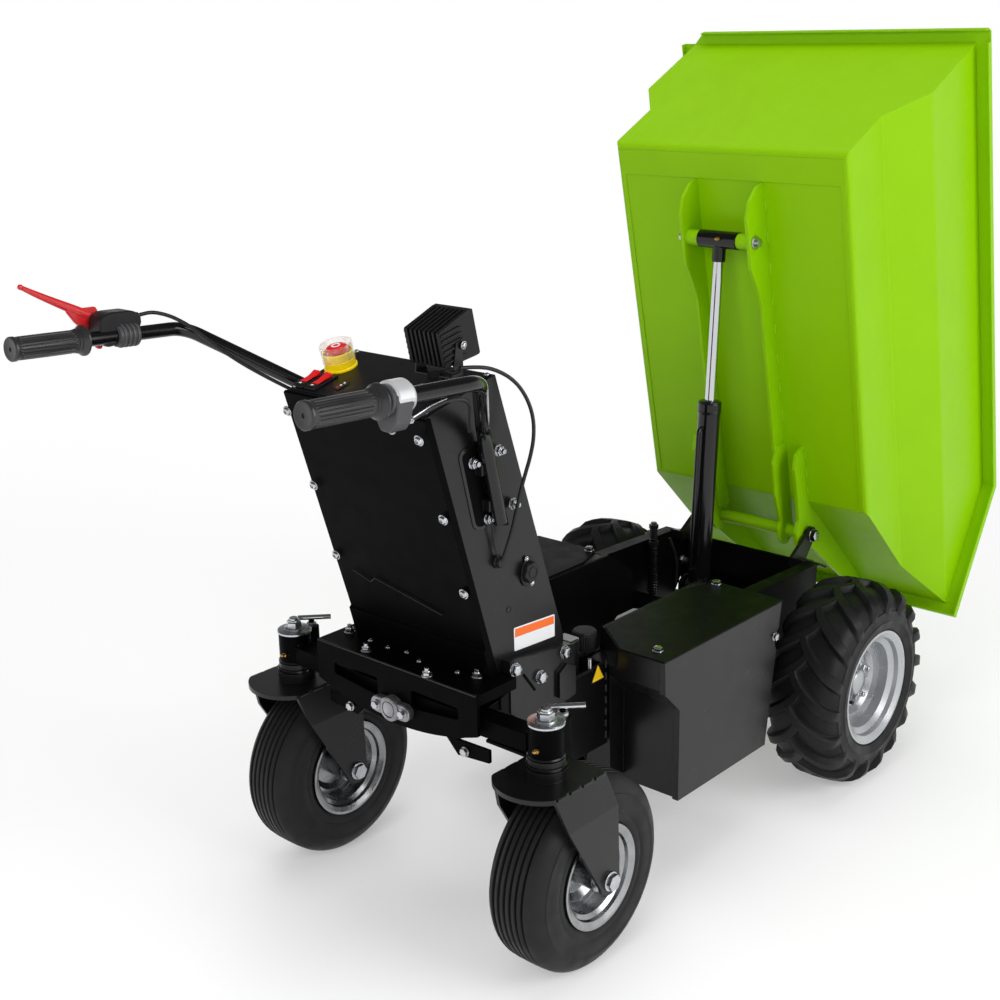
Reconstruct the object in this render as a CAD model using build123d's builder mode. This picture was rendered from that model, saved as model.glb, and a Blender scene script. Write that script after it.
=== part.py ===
"""Electric walk-behind site dumper: tipping bed, drive wheels, swivel casters and control console.

Millimetres. +X points from the operator to the bed, +Y to the left, +Z up. The origin lies on the
floor under the middle of the machine. The bed is drawn lowered and then tipped to its parked pose.
"""
import os
from math import atan2, cos, degrees, hypot, pi, radians, sin, tan

from build123d import *

os.makedirs("parts", exist_ok=True)

# ------------------------------------------------------------------ driving dimensions
AXLE_X = 420.0              # drive axle, ahead of the origin
AXLE_Z = 201.0              # drive wheel radius out to the lugs
DRIVE_Y = 295.0             # middle of a drive wheel
DRIVE_W = 156.0             # drive tyre width
DRIVE_RIM_R = 114.0
LUGS_PER_ROW = 18

SWIVEL_X = -485.0           # caster swivel axes
SWIVEL_Y = 287.0
CASTER_TRAIL = 67.0         # wheel axle ahead of the swivel axis
CASTER_R = 164.5
CASTER_W = 112.0
CASTER_RIM_R = 87.5

PIVOT_X = 543.0             # bed hinge
PIVOT_Z = 434.0
TIP_ANGLE = 78.0            # parked with the bed tipped up

DECK_Z = 465.0              # top of the rear deck
DECK_REAR_X = -524.0
DECK_Y = 182.0              # half width of the rear deck
PLATE = 6.0                 # frame plate thickness
RAIL_Y = 167.0              # outer face of the main frame rails

SIDES = (("left", 1), ("right", -1))
PIVOT_AXIS = Axis((PIVOT_X, 0, PIVOT_Z), (0, 1, 0))


def side_plane(y):
    """Upright plane along the machine at y; +x forward, +y up, extruding toward -Y."""
    return Plane.XZ.offset(-y)


def cross_plane(x):
    """Upright plane across the machine at x; +x to the left, +y up, extruding toward +X."""
    return Plane.YZ.offset(x)


def rounded(points, radius):
    """Sketch of a polygon with all its corners rounded."""
    with BuildSketch(Plane.XY, mode=Mode.PRIVATE) as outline:
        Polygon(*points, align=None)
        fillet(outline.vertices(), radius)
    return outline.sketch


def write(shape, name):
    """Label a finished shape and write its STEP file."""
    shape.label = name
    export_step(shape, f"parts/{name}.step")


def write_tipped(shape, name):
    """Turn a shape drawn with the bed lowered to the parked pose, and write it."""
    write(shape.rotate(PIVOT_AXIS, TIP_ANGLE), name)


# ------------------------------------------------------------------ bed tub
BED_LENGTH = 730.0          # floor, rear edge to the foot of the pour wall
BED_BACK = 796.0            # hinge to the floor's rear edge
BED_RISE = 18.0             # hinge to the underside of the floor
BED_HEIGHT = 392.0
FLOOR_Y = 260.0             # half width of the floor
SHELF_LOW, SHELF_HIGH = 125.0, 205.0
BED_Y = 319.0               # half width above the shelf
REAR_LEAN = 0.266           # rear wall, back per unit of height
LIP_S, LIP_H = 1037.0, 206.0
RIM_BEND_S = 835.0
NOSE_S, NOSE_H = 1055.0, 190.0      # outer edge of the rim at the pour lip
BED_T = 3.0
FLANGE = 29.0               # rim folded outward, then down
FLANGE_DROP = 13.0
BED_X = PIVOT_X - BED_BACK
BED_Z = PIVOT_Z + BED_RISE
POUR = (LIP_S - BED_LENGTH) / LIP_H


def bed_point(s, h):
    """Point of the lowered bed, s forward from the floor's rear edge and h above the floor."""
    return (BED_X + s, BED_Z + h)


def tub_section(y_floor, y_top, low, high, bottom, top):
    """Half-symmetric cross-section of the tub: floor, upright wall, shelf over the wheels, wall."""
    right = [(y_floor, bottom), (y_floor, low), (y_top, high), (y_top, top)]
    left = [(-y, z) for y, z in reversed(right)]
    return [(y, BED_Z + z) for y, z in right + left]


BEND_R = 8.0                # folds along the floor and the shelves
REAR_BEND_R = 12.0
SEAM_T = 1.5                # edges of the walls lapped over the floor plate
REAR_LAP, SIDE_LAP = 62.0, 10.0
REAR_FLANGE = 25.0          # rim across the rear wall
REAR_S = -REAR_LEAN * BED_HEIGHT


def folded_section(points):
    """Polygon whose lower corners are folds; the two corners at the open top stay square."""
    with BuildSketch(Plane.XY, mode=Mode.PRIVATE) as section:
        Polygon(*points, align=None)
        top = max(z for _, z in points) - 1
        fillet(section.vertices().filter_by(lambda v: v.Y < top), BEND_R)
    return section.sketch


with BuildPart() as bed_tub:
    with BuildSketch(cross_plane(BED_X - 200)):
        add(folded_section(tub_section(FLOOR_Y, BED_Y, SHELF_LOW, SHELF_HIGH, 0, BED_HEIGHT)))
    extrude(amount=1400)
    with BuildSketch(side_plane(0)) as side_outline:
        Polygon(
            bed_point(0, 0),
            bed_point(BED_LENGTH, 0),
            bed_point(LIP_S, LIP_H),
            bed_point(RIM_BEND_S, BED_HEIGHT),
            bed_point(REAR_S, BED_HEIGHT),
            align=None,
        )
        fillet(side_outline.vertices().sort_by(Axis.Y)[:2], REAR_BEND_R)
    extrude(amount=BED_Y + 5, both=True, mode=Mode.INTERSECT)
    with BuildPart(mode=Mode.SUBTRACT):
        with BuildSketch(cross_plane(BED_X - 200)):
            add(folded_section(
                tub_section(FLOOR_Y - BED_T, BED_Y - BED_T, SHELF_LOW + 2, SHELF_HIGH + 2, BED_T,
                            BED_HEIGHT + 80)
            ))
        extrude(amount=1400)
        with BuildSketch(side_plane(0)) as hollow_outline:
            Polygon(
                bed_point(BED_T, BED_T),
                bed_point(BED_LENGTH - 1, BED_T),
                bed_point(LIP_S + 60 - 4, LIP_H + 60 / POUR + BED_T * 0.3),
                bed_point(LIP_S + 60, BED_HEIGHT + 60),
                bed_point(REAR_S - REAR_LEAN * 60 + BED_T, BED_HEIGHT + 60),
                align=None,
            )
            fillet(hollow_outline.vertices().sort_by(Axis.Y)[:2], REAR_BEND_R - BED_T)
        extrude(amount=BED_Y + 5, both=True, mode=Mode.INTERSECT)
    # edges of the rear and side walls, lapped over the floor plate
    with BuildSketch(Plane.XY.offset(BED_Z - SEAM_T)):
        with BuildLine():
            floor_y = FLOOR_Y - BEND_R
            seam_y = floor_y - SIDE_LAP
            floor_end = BED_X + BED_LENGTH - 4
            Polyline(
                (BED_X + REAR_BEND_R, -floor_y), (floor_end, -floor_y), (floor_end, -seam_y),
                (BED_X + REAR_LAP, -seam_y), (BED_X + REAR_LAP, seam_y), (floor_end, seam_y),
                (floor_end, floor_y), (BED_X + REAR_BEND_R, floor_y), close=True,
            )
        make_face()
    extrude(amount=SEAM_T + 1)
    # rim: flange outward with its edge folded down, along both sides
    for side in (1, -1):
        for y_in, y_out, drop in (
            (BED_Y - BED_T, BED_Y + FLANGE, BED_T),
            (BED_Y + FLANGE - BED_T, BED_Y + FLANGE, FLANGE_DROP),
        ):
            with BuildSketch(side_plane(side * y_in)):
                Polygon(
                    bed_point(REAR_S, BED_HEIGHT),
                    bed_point(RIM_BEND_S, BED_HEIGHT),
                    bed_point(NOSE_S, NOSE_H),
                    bed_point(NOSE_S - 0.68 * drop, NOSE_H - 0.73 * drop),
                    bed_point(RIM_BEND_S - 0.4 * drop, BED_HEIGHT - drop),
                    bed_point(REAR_S, BED_HEIGHT - drop),
                    align=None,
                )
            extrude(amount=-side * (y_out - y_in))
    # rim across the rear wall, trimmed at both corners
    rear_edge = REAR_S - REAR_FLANGE
    with BuildSketch(side_plane(0)):
        Polygon(
            bed_point(REAR_S + BED_T, BED_HEIGHT),
            bed_point(rear_edge, BED_HEIGHT),
            bed_point(rear_edge, BED_HEIGHT - FLANGE_DROP),
            bed_point(rear_edge + BED_T, BED_HEIGHT - FLANGE_DROP),
            bed_point(rear_edge + BED_T, BED_HEIGHT - BED_T),
            bed_point(REAR_S + BED_T, BED_HEIGHT - BED_T),
            align=None,
        )
    extrude(amount=BED_Y + FLANGE, both=True)
    with BuildSketch(Plane.XY.offset(BED_Z + BED_HEIGHT + 1)):
        for side, cut_y in ((1, REAR_FLANGE + FLANGE), (-1, 6.0)):
            y_out = BED_Y + FLANGE
            cut_s = min(cut_y, REAR_FLANGE)
            Polygon(
                (BED_X + rear_edge - 1, side * (y_out + 1)), (BED_X + rear_edge - 1, side * (y_out - cut_y)),
                (BED_X + rear_edge + cut_s, side * (y_out - max(0, cut_y - cut_s))),
                (BED_X + rear_edge + cut_s, side * (y_out + 1)), align=None,
            )
    extrude(amount=-FLANGE_DROP - 2, mode=Mode.SUBTRACT)
    # rim across the pour lip
    with BuildSketch(side_plane(0)):
        Polygon(
            bed_point(LIP_S - 2, LIP_H + 1.8),
            bed_point(NOSE_S, NOSE_H),
            bed_point(NOSE_S - 0.68 * FLANGE_DROP, NOSE_H - 0.73 * FLANGE_DROP),
            bed_point(NOSE_S - 0.68 * FLANGE_DROP - 2.2, NOSE_H - 0.73 * FLANGE_DROP + 2.0),
            bed_point(NOSE_S - 4.2, NOSE_H - 0.2),
            bed_point(LIP_S - 4, LIP_H - 1.2),
            align=None,
        )
    extrude(amount=BED_Y + FLANGE, both=True)
write_tipped(bed_tub.part, "bed_tub")

# ------------------------------------------------------------------ bed underframe
RIB_IN, RIB_OUT = 71.0, 78.0
EAR_OUT = 84.0              # inner hinge ear, a plate on the rib's outer face
CHEEK_IN, CHEEK_OUT = 117.0, 125.0      # outer hinge ear
HINGE_R = 13.0
HINGE_BORE_R = 9.0
EYE_S, EYE_H = 166.0, -45.0
HINGE_S, HINGE_H = BED_BACK, -BED_RISE

RIB_OUTLINE = (             # s, h of a rib's free edge, rear to front
    (63, 0), (66, -22), (86, -50), (118, -64), (214, -64), (262, -46), (300, -37), (770, -37),
    (775, 0),
)
EAR_OUTLINE = (             # s, h of the inner ear
    (602, 0), (598, -30), (628, -54), (700, -56), (764, -44), (780, -52), (800, -54), (818, -44),
    (824, -26), (812, 0),
)
CHEEK_OUTLINE = (           # s, h of the outer ear with its strut up the pour wall
    (604, 0), (BED_LENGTH, 0), (BED_LENGTH + 196 * POUR, 196), (BED_LENGTH + 186 * POUR + 24, 168),
    (832, -6), (826, -34), (808, -52), (780, -52), (758, -40), (700, -38), (640, -40), (612, -28),
)

with BuildPart() as bed_frame:
    for side in (1, -1):
        for outline, y_in, y_out, radius in (
            (RIB_OUTLINE, RIB_IN, RIB_OUT, 9), (EAR_OUTLINE, RIB_OUT, EAR_OUT, 7),
            (CHEEK_OUTLINE, CHEEK_IN, CHEEK_OUT, 7),
        ):
            with BuildSketch(side_plane(side * y_in)) as plate:
                Polygon(*[bed_point(s, h) for s, h in outline], align=None)
                fillet(plate.vertices().filter_by(lambda v: v.Y < BED_Z - 6), radius)
            extrude(amount=-side * (y_out - y_in))
    # hinge tube across the ears
    with BuildSketch(side_plane(CHEEK_OUT)):
        with Locations(bed_point(HINGE_S, HINGE_H)):
            Circle(HINGE_R)
    extrude(amount=2 * CHEEK_OUT)
    with BuildSketch(side_plane(CHEEK_OUT)):
        with Locations(bed_point(HINGE_S, HINGE_H)):
            Circle(HINGE_BORE_R)
    extrude(amount=2 * CHEEK_OUT, mode=Mode.SUBTRACT)
write_tipped(bed_frame.part, "bed_frame")

with BuildPart() as eye_pin_heads:
    for side in (1, -1):
        with BuildSketch(side_plane(side * RIB_OUT)):
            with Locations(bed_point(EYE_S, EYE_H)):
                Circle(13)
        extrude(amount=-side * 3)
        with BuildSketch(side_plane(side * (RIB_OUT + 3))) as head:
            with Locations(bed_point(EYE_S, EYE_H)):
                Circle(10.5)
        extrude(amount=-side * 9, taper=14)
write_tipped(eye_pin_heads.part, "eye_pin_heads")

# ------------------------------------------------------------------ tipping cylinder
RAM_X, RAM_Z = 340.0, 345.0         # foot pin of the cylinder
EYE_R = 17.0
EYE_Y = 43.0                        # half length of the rod's eye tube
SPACER_GAP = 0.6                    # the eye tube turns beside its spacers
BARREL_R, ROD_R = 22.0, 10.0
BARREL_LENGTH = 388.0
RUNNING = 0.05                      # radial clearance of a running fit
FOOT_PIN_R = 10.0
PIPE_WAY = Vector(-1, 0, 0)         # the oil pipe stands behind the barrel
ROD_FOOT = 318.0                    # lower end of the rod from the foot pin, parked

lowered_eye = bed_point(EYE_S, EYE_H)
tip = radians(TIP_ANGLE)
arm_x = lowered_eye[0] - PIVOT_X
arm_z = lowered_eye[1] - PIVOT_Z
EYE_X = PIVOT_X + arm_x * cos(tip) + arm_z * sin(tip)
EYE_Z = PIVOT_Z - arm_x * sin(tip) + arm_z * cos(tip)
RAM_LENGTH = hypot(EYE_X - RAM_X, EYE_Z - RAM_Z)
RAM_SHORT = hypot(lowered_eye[0] - RAM_X, lowered_eye[1] - RAM_Z)
RAM_DIR = ((EYE_X - RAM_X) / RAM_LENGTH, 0, (EYE_Z - RAM_Z) / RAM_LENGTH)
ram_swing = degrees(atan2(lowered_eye[1] - RAM_Z, lowered_eye[0] - RAM_X)
                    - atan2(EYE_Z - RAM_Z, EYE_X - RAM_X))
print(f"cylinder: {RAM_LENGTH:.1f} parked, {RAM_SHORT:.1f} lowered, swing {ram_swing:.3f} deg")
print(f"cylinder direction {RAM_DIR[0]:.6f} {RAM_DIR[2]:.6f}, foot {RAM_X} {RAM_Z}, eye {EYE_X:.2f} {EYE_Z:.2f}")


def ram_plane(distance):
    """Plane across the cylinder at a distance up from its foot pin."""
    origin = (RAM_X + RAM_DIR[0] * distance, 0, RAM_Z + RAM_DIR[2] * distance)
    return Plane(origin=origin, x_dir=(0, 1, 0), z_dir=RAM_DIR)


with BuildPart() as ram_barrel:
    with BuildSketch(ram_plane(16)):
        Circle(BARREL_R)
    extrude(amount=BARREL_LENGTH - 22)
    with BuildSketch(ram_plane(BARREL_LENGTH - 20)):
        Circle(BARREL_R + 1.5)
    extrude(amount=14)
    with BuildSketch(ram_plane(BARREL_LENGTH - 6)):
        Circle(BARREL_R - 5)
    extrude(amount=6)
    # foot eye on its pin
    with BuildSketch(side_plane(22)):
        with Locations((RAM_X, RAM_Z)):
            Circle(20)
    extrude(amount=44)
    with BuildSketch(side_plane(22)):
        with Locations((RAM_X, RAM_Z)):
            Circle(FOOT_PIN_R + RUNNING)
    extrude(amount=44, mode=Mode.SUBTRACT)
    # oil pipe up the back, bent into the port below the head
    with BuildLine():
        pipe_points = [(46, 0), (46, 34), (336, 34), (336, 0)]
        pipe = FilletPolyline(*[ram_plane(d).origin + PIPE_WAY * out for d, out in pipe_points], radius=10)
    with BuildSketch(Plane(origin=pipe @ 0, z_dir=pipe % 0)):
        Circle(4)
    sweep(path=pipe)
    # bore that the rod runs in
    with BuildSketch(ram_plane(40)):
        Circle(ROD_R + RUNNING)
    extrude(amount=BARREL_LENGTH, mode=Mode.SUBTRACT)
write(ram_barrel.part, "ram_barrel")

with BuildPart() as ram_rod:
    with BuildSketch(ram_plane(ROD_FOOT)):
        Circle(ROD_R)
    extrude(amount=RAM_LENGTH - ROD_FOOT - EYE_R + 3)
write(ram_rod.part, "ram_rod")

with BuildPart() as rod_eye:
    with BuildSketch(side_plane(EYE_Y)):
        with Locations((EYE_X, EYE_Z)):
            Circle(EYE_R)
    extrude(amount=2 * EYE_Y)
    with BuildSketch(ram_plane(RAM_LENGTH - 42)):
        Circle(ROD_R + 3)
    extrude(amount=30)
    with BuildSketch(ram_plane(RAM_LENGTH - 44)):
        Circle(ROD_R)
    extrude(amount=44 - EYE_R + 3, mode=Mode.SUBTRACT)
write(rod_eye.part, "rod_eye")

with BuildPart() as eye_spacers:
    for side in (1, -1):
        with BuildSketch(side_plane(side * (EYE_Y + SPACER_GAP))):
            with Locations((EYE_X, EYE_Z)):
                Circle(15)
        extrude(amount=-side * (RIB_IN - EYE_Y - SPACER_GAP))
write(eye_spacers.part, "eye_spacers")

# ------------------------------------------------------------------ drive wheels
TREAD_R = AXLE_Z - 13.0
STUB_R = 15.0               # axle shaft that runs into the drive unit
WHEEL_SIDES = 36            # a tyre is moulded as flats, two to a lug pitch
BEAD_GAP = 0.02
TYRE_BANDS = (              # y, r of the carcass from bead to bead
    (-64, 113), (-DRIVE_W / 2, 152), (-58, 186), (58, 186), (DRIVE_W / 2, 152), (64, 113),
)
ENVELOPE_BANDS = (          # y, r that the lugs reach
    (-DRIVE_W / 2, 170), (-58, AXLE_Z), (58, AXLE_Z), (DRIVE_W / 2, 170),
)
SEAT_R = 104.0
LUG_OUTLINE = ((34, -4), (20, -9), (-44, 82), (-22, 82))    # forward, outward from the crown
DRIVE_RIM = (               # r, y of flange, bead seats and drop centre
    (96, 52), (104, 54), (SEAT_R, 64), (109, 68), (DRIVE_RIM_R, 69), (DRIVE_RIM_R, 72), (109, 72), (99, 66),
    (97, 57), (86, 50), (86, 12), (90, -50), (97, -57), (99, -66), (109, -72), (DRIVE_RIM_R, -72),
    (DRIVE_RIM_R, -69), (109, -68), (SEAT_R, -64), (104, -54), (96, -52),
)
DRIVE_DISC = ((26, 16), (56, 16), (66, 28), (87, 30), (87, 25), (69, 23), (58, 11), (26, 11))


def flats(bands, sides, major):
    """Solid of polygon sections across Y; major sets the radius at corners, else at the flats."""
    with BuildPart(mode=Mode.PRIVATE) as body:
        for y, r in bands:
            with BuildSketch(Plane.XZ.offset(-y)):
                RegularPolygon(r, sides, major_radius=major)
        loft(ruled=True)
    return body.part


def lug_plane(angle):
    """Plane under the tread crown at an angle about the axle; +x is the rolling way."""
    a = radians(angle)
    out = Vector(sin(a), 0, cos(a))
    return Plane(origin=out * (TREAD_R - 50), x_dir=Vector(cos(a), 0, -sin(a)), z_dir=out)


for name, side in SIDES:
    centre = (AXLE_X, side * DRIVE_Y, AXLE_Z)
    with BuildPart() as tyre:
        # lugs: two staggered rows, widening from the crown and wrapping down over the shoulder
        for i in range(LUGS_PER_ROW):
            for row in (1, -1):
                angle = 360 / LUGS_PER_ROW * (i + (0.5 if row < 0 else 0))
                with BuildSketch(lug_plane(angle)):
                    Polygon(*[(x, -row * y) for x, y in LUG_OUTLINE], align=None)
                extrude(amount=70)
        add(flats(ENVELOPE_BANDS, WHEEL_SIDES, True), mode=Mode.INTERSECT)
        add(flats(TYRE_BANDS, WHEEL_SIDES, True))
        add(flats([(-DRIVE_W / 2, SEAT_R + BEAD_GAP), (DRIVE_W / 2, SEAT_R + BEAD_GAP)], WHEEL_SIDES, False),
            mode=Mode.SUBTRACT)
    write(tyre.part.moved(Location(centre)), f"drive_tyre_{name}")

    with BuildPart() as rim:
        with BuildSketch(Plane.XY):
            Polygon(*DRIVE_RIM, align=None)
        revolve(axis=Axis.Y)
        # dished disc and hub
        with BuildSketch(Plane.XY):
            Polygon(*DRIVE_DISC, align=None)
        revolve(axis=Axis.Y)
        with BuildSketch(Plane.XZ.offset(66)):
            Circle(34)
        extrude(amount=-82)
        with BuildSketch(Plane.XZ.offset(140)):
            Circle(STUB_R)
        extrude(amount=-80)
        with BuildSketch(Plane.XZ.offset(-16)):
            Circle(22)
        extrude(amount=-16, taper=12)
        with BuildSketch(Plane.XZ.offset(-16)):
            with PolarLocations(44, 5):
                RegularPolygon(9, 6)
        extrude(amount=-9)
    rim_shape = rim.part if side > 0 else rim.part.mirror(Plane.XZ)
    write(rim_shape.moved(Location(centre)), f"drive_rim_{name}")

# ------------------------------------------------------------------ casters
FORK_TOP = 353.0
FORK_T = 8.0
LEG_Y = 72.0                # outer face of a fork leg from the middle of the wheel
LEG_T = 6.0
PLATE_Y = 62.0              # half width of the fork's top plate
BEND_Z = 290.0              # the leg leans outward above this height
CASTER_SIDES = 30
CASTER_BANDS = (            # y, r of the tyre from bead to bead
    (-50, 87), (-CASTER_W / 2, 116), (-48, 148), (-22, CASTER_R), (22, CASTER_R), (48, 148),
    (CASTER_W / 2, 116), (50, 87),
)
CASTER_SEAT_R = 80.0
CASTER_RIM = (              # r, y of flange, bead seats and drop centre
    (73, 40), (80, 42), (80, 50), (84, 52), (CASTER_RIM_R, 52), (CASTER_RIM_R, 55), (83, 55), (75, 51),
    (73, 45), (66, 40), (66, -40), (73, -45), (75, -51), (83, -55), (CASTER_RIM_R, -55),
    (CASTER_RIM_R, -52), (84, -52), (80, -50), (80, -42), (73, -40),
)
CASTER_DISC = ((20, -4), (44, -4), (54, -14), (67, -14), (67, -10), (56, -10), (46, 2), (20, 2))
CASTER_AXLE_R = 10.0
for name, side in SIDES:
    sx, sy = SWIVEL_X, side * SWIVEL_Y
    wx = SWIVEL_X + CASTER_TRAIL
    with BuildPart() as fork:
        # cross-section of both legs, run along the fork and cut to the side outline
        for leg in (1, -1):
            with BuildSketch(cross_plane(sx - 70)):
                Polygon(
                    (sy + leg * PLATE_Y, FORK_TOP), (sy + leg * LEG_Y, BEND_Z), (sy + leg * LEG_Y, 130),
                    (sy + leg * (LEG_Y - LEG_T), 130), (sy + leg * (LEG_Y - LEG_T), BEND_Z - 1),
                    (sy + leg * (PLATE_Y - LEG_T), FORK_TOP), align=None,
                )
            extrude(amount=180)
        with BuildSketch(side_plane(sy)):
            with BuildLine():
                Polyline((sx + 43, 160), (sx - 34, BEND_Z), (sx - 56, FORK_TOP), (sx + 66, FORK_TOP),
                         (sx + 86, BEND_Z), (wx + 24, CASTER_R))
                ThreePointArc((wx + 24, CASTER_R), (wx + 3, CASTER_R - 23.8), (sx + 43, 160))
            make_face()
            with Locations((wx, CASTER_R)):
                Circle(CASTER_AXLE_R, mode=Mode.SUBTRACT)
        extrude(amount=LEG_Y + 1, both=True, mode=Mode.INTERSECT)
        # top plate, rounded at the back
        with BuildSketch(Plane.XY.offset(FORK_TOP - FORK_T)):
            with BuildLine():
                Polyline((sx - 56, sy - PLATE_Y), (sx + 66, sy - PLATE_Y), (sx + 66, sy + PLATE_Y),
                         (sx - 56, sy + PLATE_Y))
                ThreePointArc((sx - 56, sy + PLATE_Y), (sx - 88, sy), (sx - 56, sy - PLATE_Y))
            make_face()
        extrude(amount=FORK_T)
        # thrust bearing and kingpin
        with BuildSketch(Plane.XY.offset(FORK_TOP)):
            with Locations((sx, sy)):
                Circle(33)
        extrude(amount=16)
        with BuildSketch(Plane.XY.offset(FORK_TOP)):
            with Locations((sx, sy)):
                Circle(30)
        extrude(amount=32)
        with BuildSketch(Plane.XY.offset(FORK_TOP)):
            with Locations((sx, sy)):
                Circle(14)
        extrude(amount=86)
    write(fork.part, f"fork_{name}")

    with BuildPart() as cap:
        with BuildSketch(Plane.XY.offset(439)):
            with Locations((sx, sy)):
                Circle(30)
        extrude(amount=4, taper=20)
        with BuildSketch(Plane.XY.offset(443)):
            with Locations((sx, sy)):
                Circle(17)
        extrude(amount=3)
        with BuildSketch(Plane.XY.offset(446)):
            with Locations((sx, sy)):
                RegularPolygon(14, 6)
        extrude(amount=12)
        with BuildSketch(Plane.XY.offset(443)):
            with Locations((sx, sy)):
                Circle(8)
        extrude(amount=22)
    write(cap.part, f"kingpin_cap_{name}")

    with BuildPart() as caster_tyre:
        add(flats(CASTER_BANDS, CASTER_SIDES, True))
        add(flats([(-60, CASTER_SEAT_R + BEAD_GAP), (60, CASTER_SEAT_R + BEAD_GAP)], CASTER_SIDES, False),
            mode=Mode.SUBTRACT)
    write(caster_tyre.part.moved(Location((wx, sy, CASTER_R))), f"caster_tyre_{name}")

    with BuildPart() as caster_rim:
        with BuildSketch(Plane.XY):
            Polygon(*CASTER_RIM, align=None)
        revolve(axis=Axis.Y)
        with BuildSketch(Plane.XY):
            Polygon(*CASTER_DISC, align=None)
        revolve(axis=Axis.Y)
        with BuildSketch(Plane.XZ.offset(54)):
            Circle(24)
            Circle(CASTER_AXLE_R + RUNNING, mode=Mode.SUBTRACT)
        extrude(amount=-108)
    write(caster_rim.part.moved(Location((wx, sy, CASTER_R))), f"caster_rim_{name}")

    with BuildPart() as caster_axle:
        with BuildSketch(side_plane(sy + LEG_Y)):
            with Locations((wx, CASTER_R)):
                Circle(CASTER_AXLE_R)
        extrude(amount=2 * LEG_Y)
        for leg in (1, -1):
            with BuildSketch(side_plane(sy + leg * LEG_Y)):
                with Locations((wx, CASTER_R)):
                    RegularPolygon(14, 6)
            extrude(amount=-leg * 10)
            with BuildSketch(side_plane(sy + leg * 55)):
                with Locations((wx, CASTER_R)):
                    Circle(16)
            extrude(amount=-leg * 11)
    write(caster_axle.part, f"caster_axle_{name}")

# ------------------------------------------------------------------ rear axle beam
BEAM_Z = 394.0              # oscillating pivot
BEAM_X = -505.0
BEAM_PIN_R = 12.0
ARM_Z, ARM_H = 390.0, 30.0
BEAM_OUTLINE = (            # x, y of half the beam, from the middle out to a swivel tube
    (BEAM_X - 6, 0), (BEAM_X - 6, 60), (SWIVEL_X - 20, 264), (SWIVEL_X + 18, 264), (BEAM_X + 30, 60),
    (BEAM_X + 30, 0),
)
GUSSET = ((112, 362), (183, 364), (183, 342), (116, 336))      # y, z below each arm
with BuildPart() as axle_beam:
    with BuildSketch(Plane.XY.offset(ARM_Z)):
        for side in (1, -1):
            Polygon(*[(x, side * y) for x, y in BEAM_OUTLINE], align=None)
    extrude(amount=ARM_H)
    for side in (1, -1):
        with BuildSketch(cross_plane(-500)):
            Polygon((side * 60, ARM_Z + 2), *[(side * y, z) for y, z in GUSSET[::-1]], (side * 183, ARM_Z + 2),
                    align=None)
            with Locations((side * 132, 347)):
                Circle(4, mode=Mode.SUBTRACT)
        extrude(amount=6)
        with BuildSketch(Plane.XY.offset(386)):
            with Locations((SWIVEL_X, side * SWIVEL_Y)):
                Circle(28)
        extrude(amount=52)
    for side in (1, -1):
        with BuildSketch(Plane.XY.offset(380)):
            with Locations((SWIVEL_X, side * SWIVEL_Y)):
                Circle(15)
        extrude(amount=60, mode=Mode.SUBTRACT)
    # pivot boss
    with BuildSketch(cross_plane(BEAM_X - 12)):
        with Locations((0, BEAM_Z)):
            Circle(26)
    extrude(amount=50)
    with BuildSketch(cross_plane(BEAM_X - 12)):
        with Locations((0, BEAM_Z)):
            Circle(BEAM_PIN_R + RUNNING)
    extrude(amount=50, mode=Mode.SUBTRACT)
write(axle_beam.part, "axle_beam")

LOCK_X = SWIVEL_X + 40
with BuildPart() as swivel_locks:
    for side in (1, -1):
        # bracket on the swivel tube with the bush of the lock pin
        with BuildSketch(Plane.XY.offset(392)):
            with Locations((LOCK_X - 8, side * SWIVEL_Y)):
                Rectangle(16, 30)
            with Locations((LOCK_X, side * SWIVEL_Y)):
                Circle(13)
            with Locations((SWIVEL_X, side * SWIVEL_Y)):
                Circle(28, mode=Mode.SUBTRACT)
        extrude(amount=44)
        with BuildSketch(Plane.XY.offset(430)):
            with Locations((LOCK_X, side * SWIVEL_Y)):
                Circle(5)
        extrude(amount=17.5)
write(swivel_locks.part, "swivel_locks")

LOCK_WAY = Vector(0.72, -0.69, 0)       # the T-bars lie across the corner
with BuildPart() as lock_handles:
    for side in (1, -1):
        middle = Vector(LOCK_X + 4, side * SWIVEL_Y - 4, 452)
        with BuildSketch(Plane(origin=middle - LOCK_WAY * 29, z_dir=LOCK_WAY)):
            Circle(4.5)
        extrude(amount=58)
write(lock_handles.part, "lock_handles")

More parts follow.
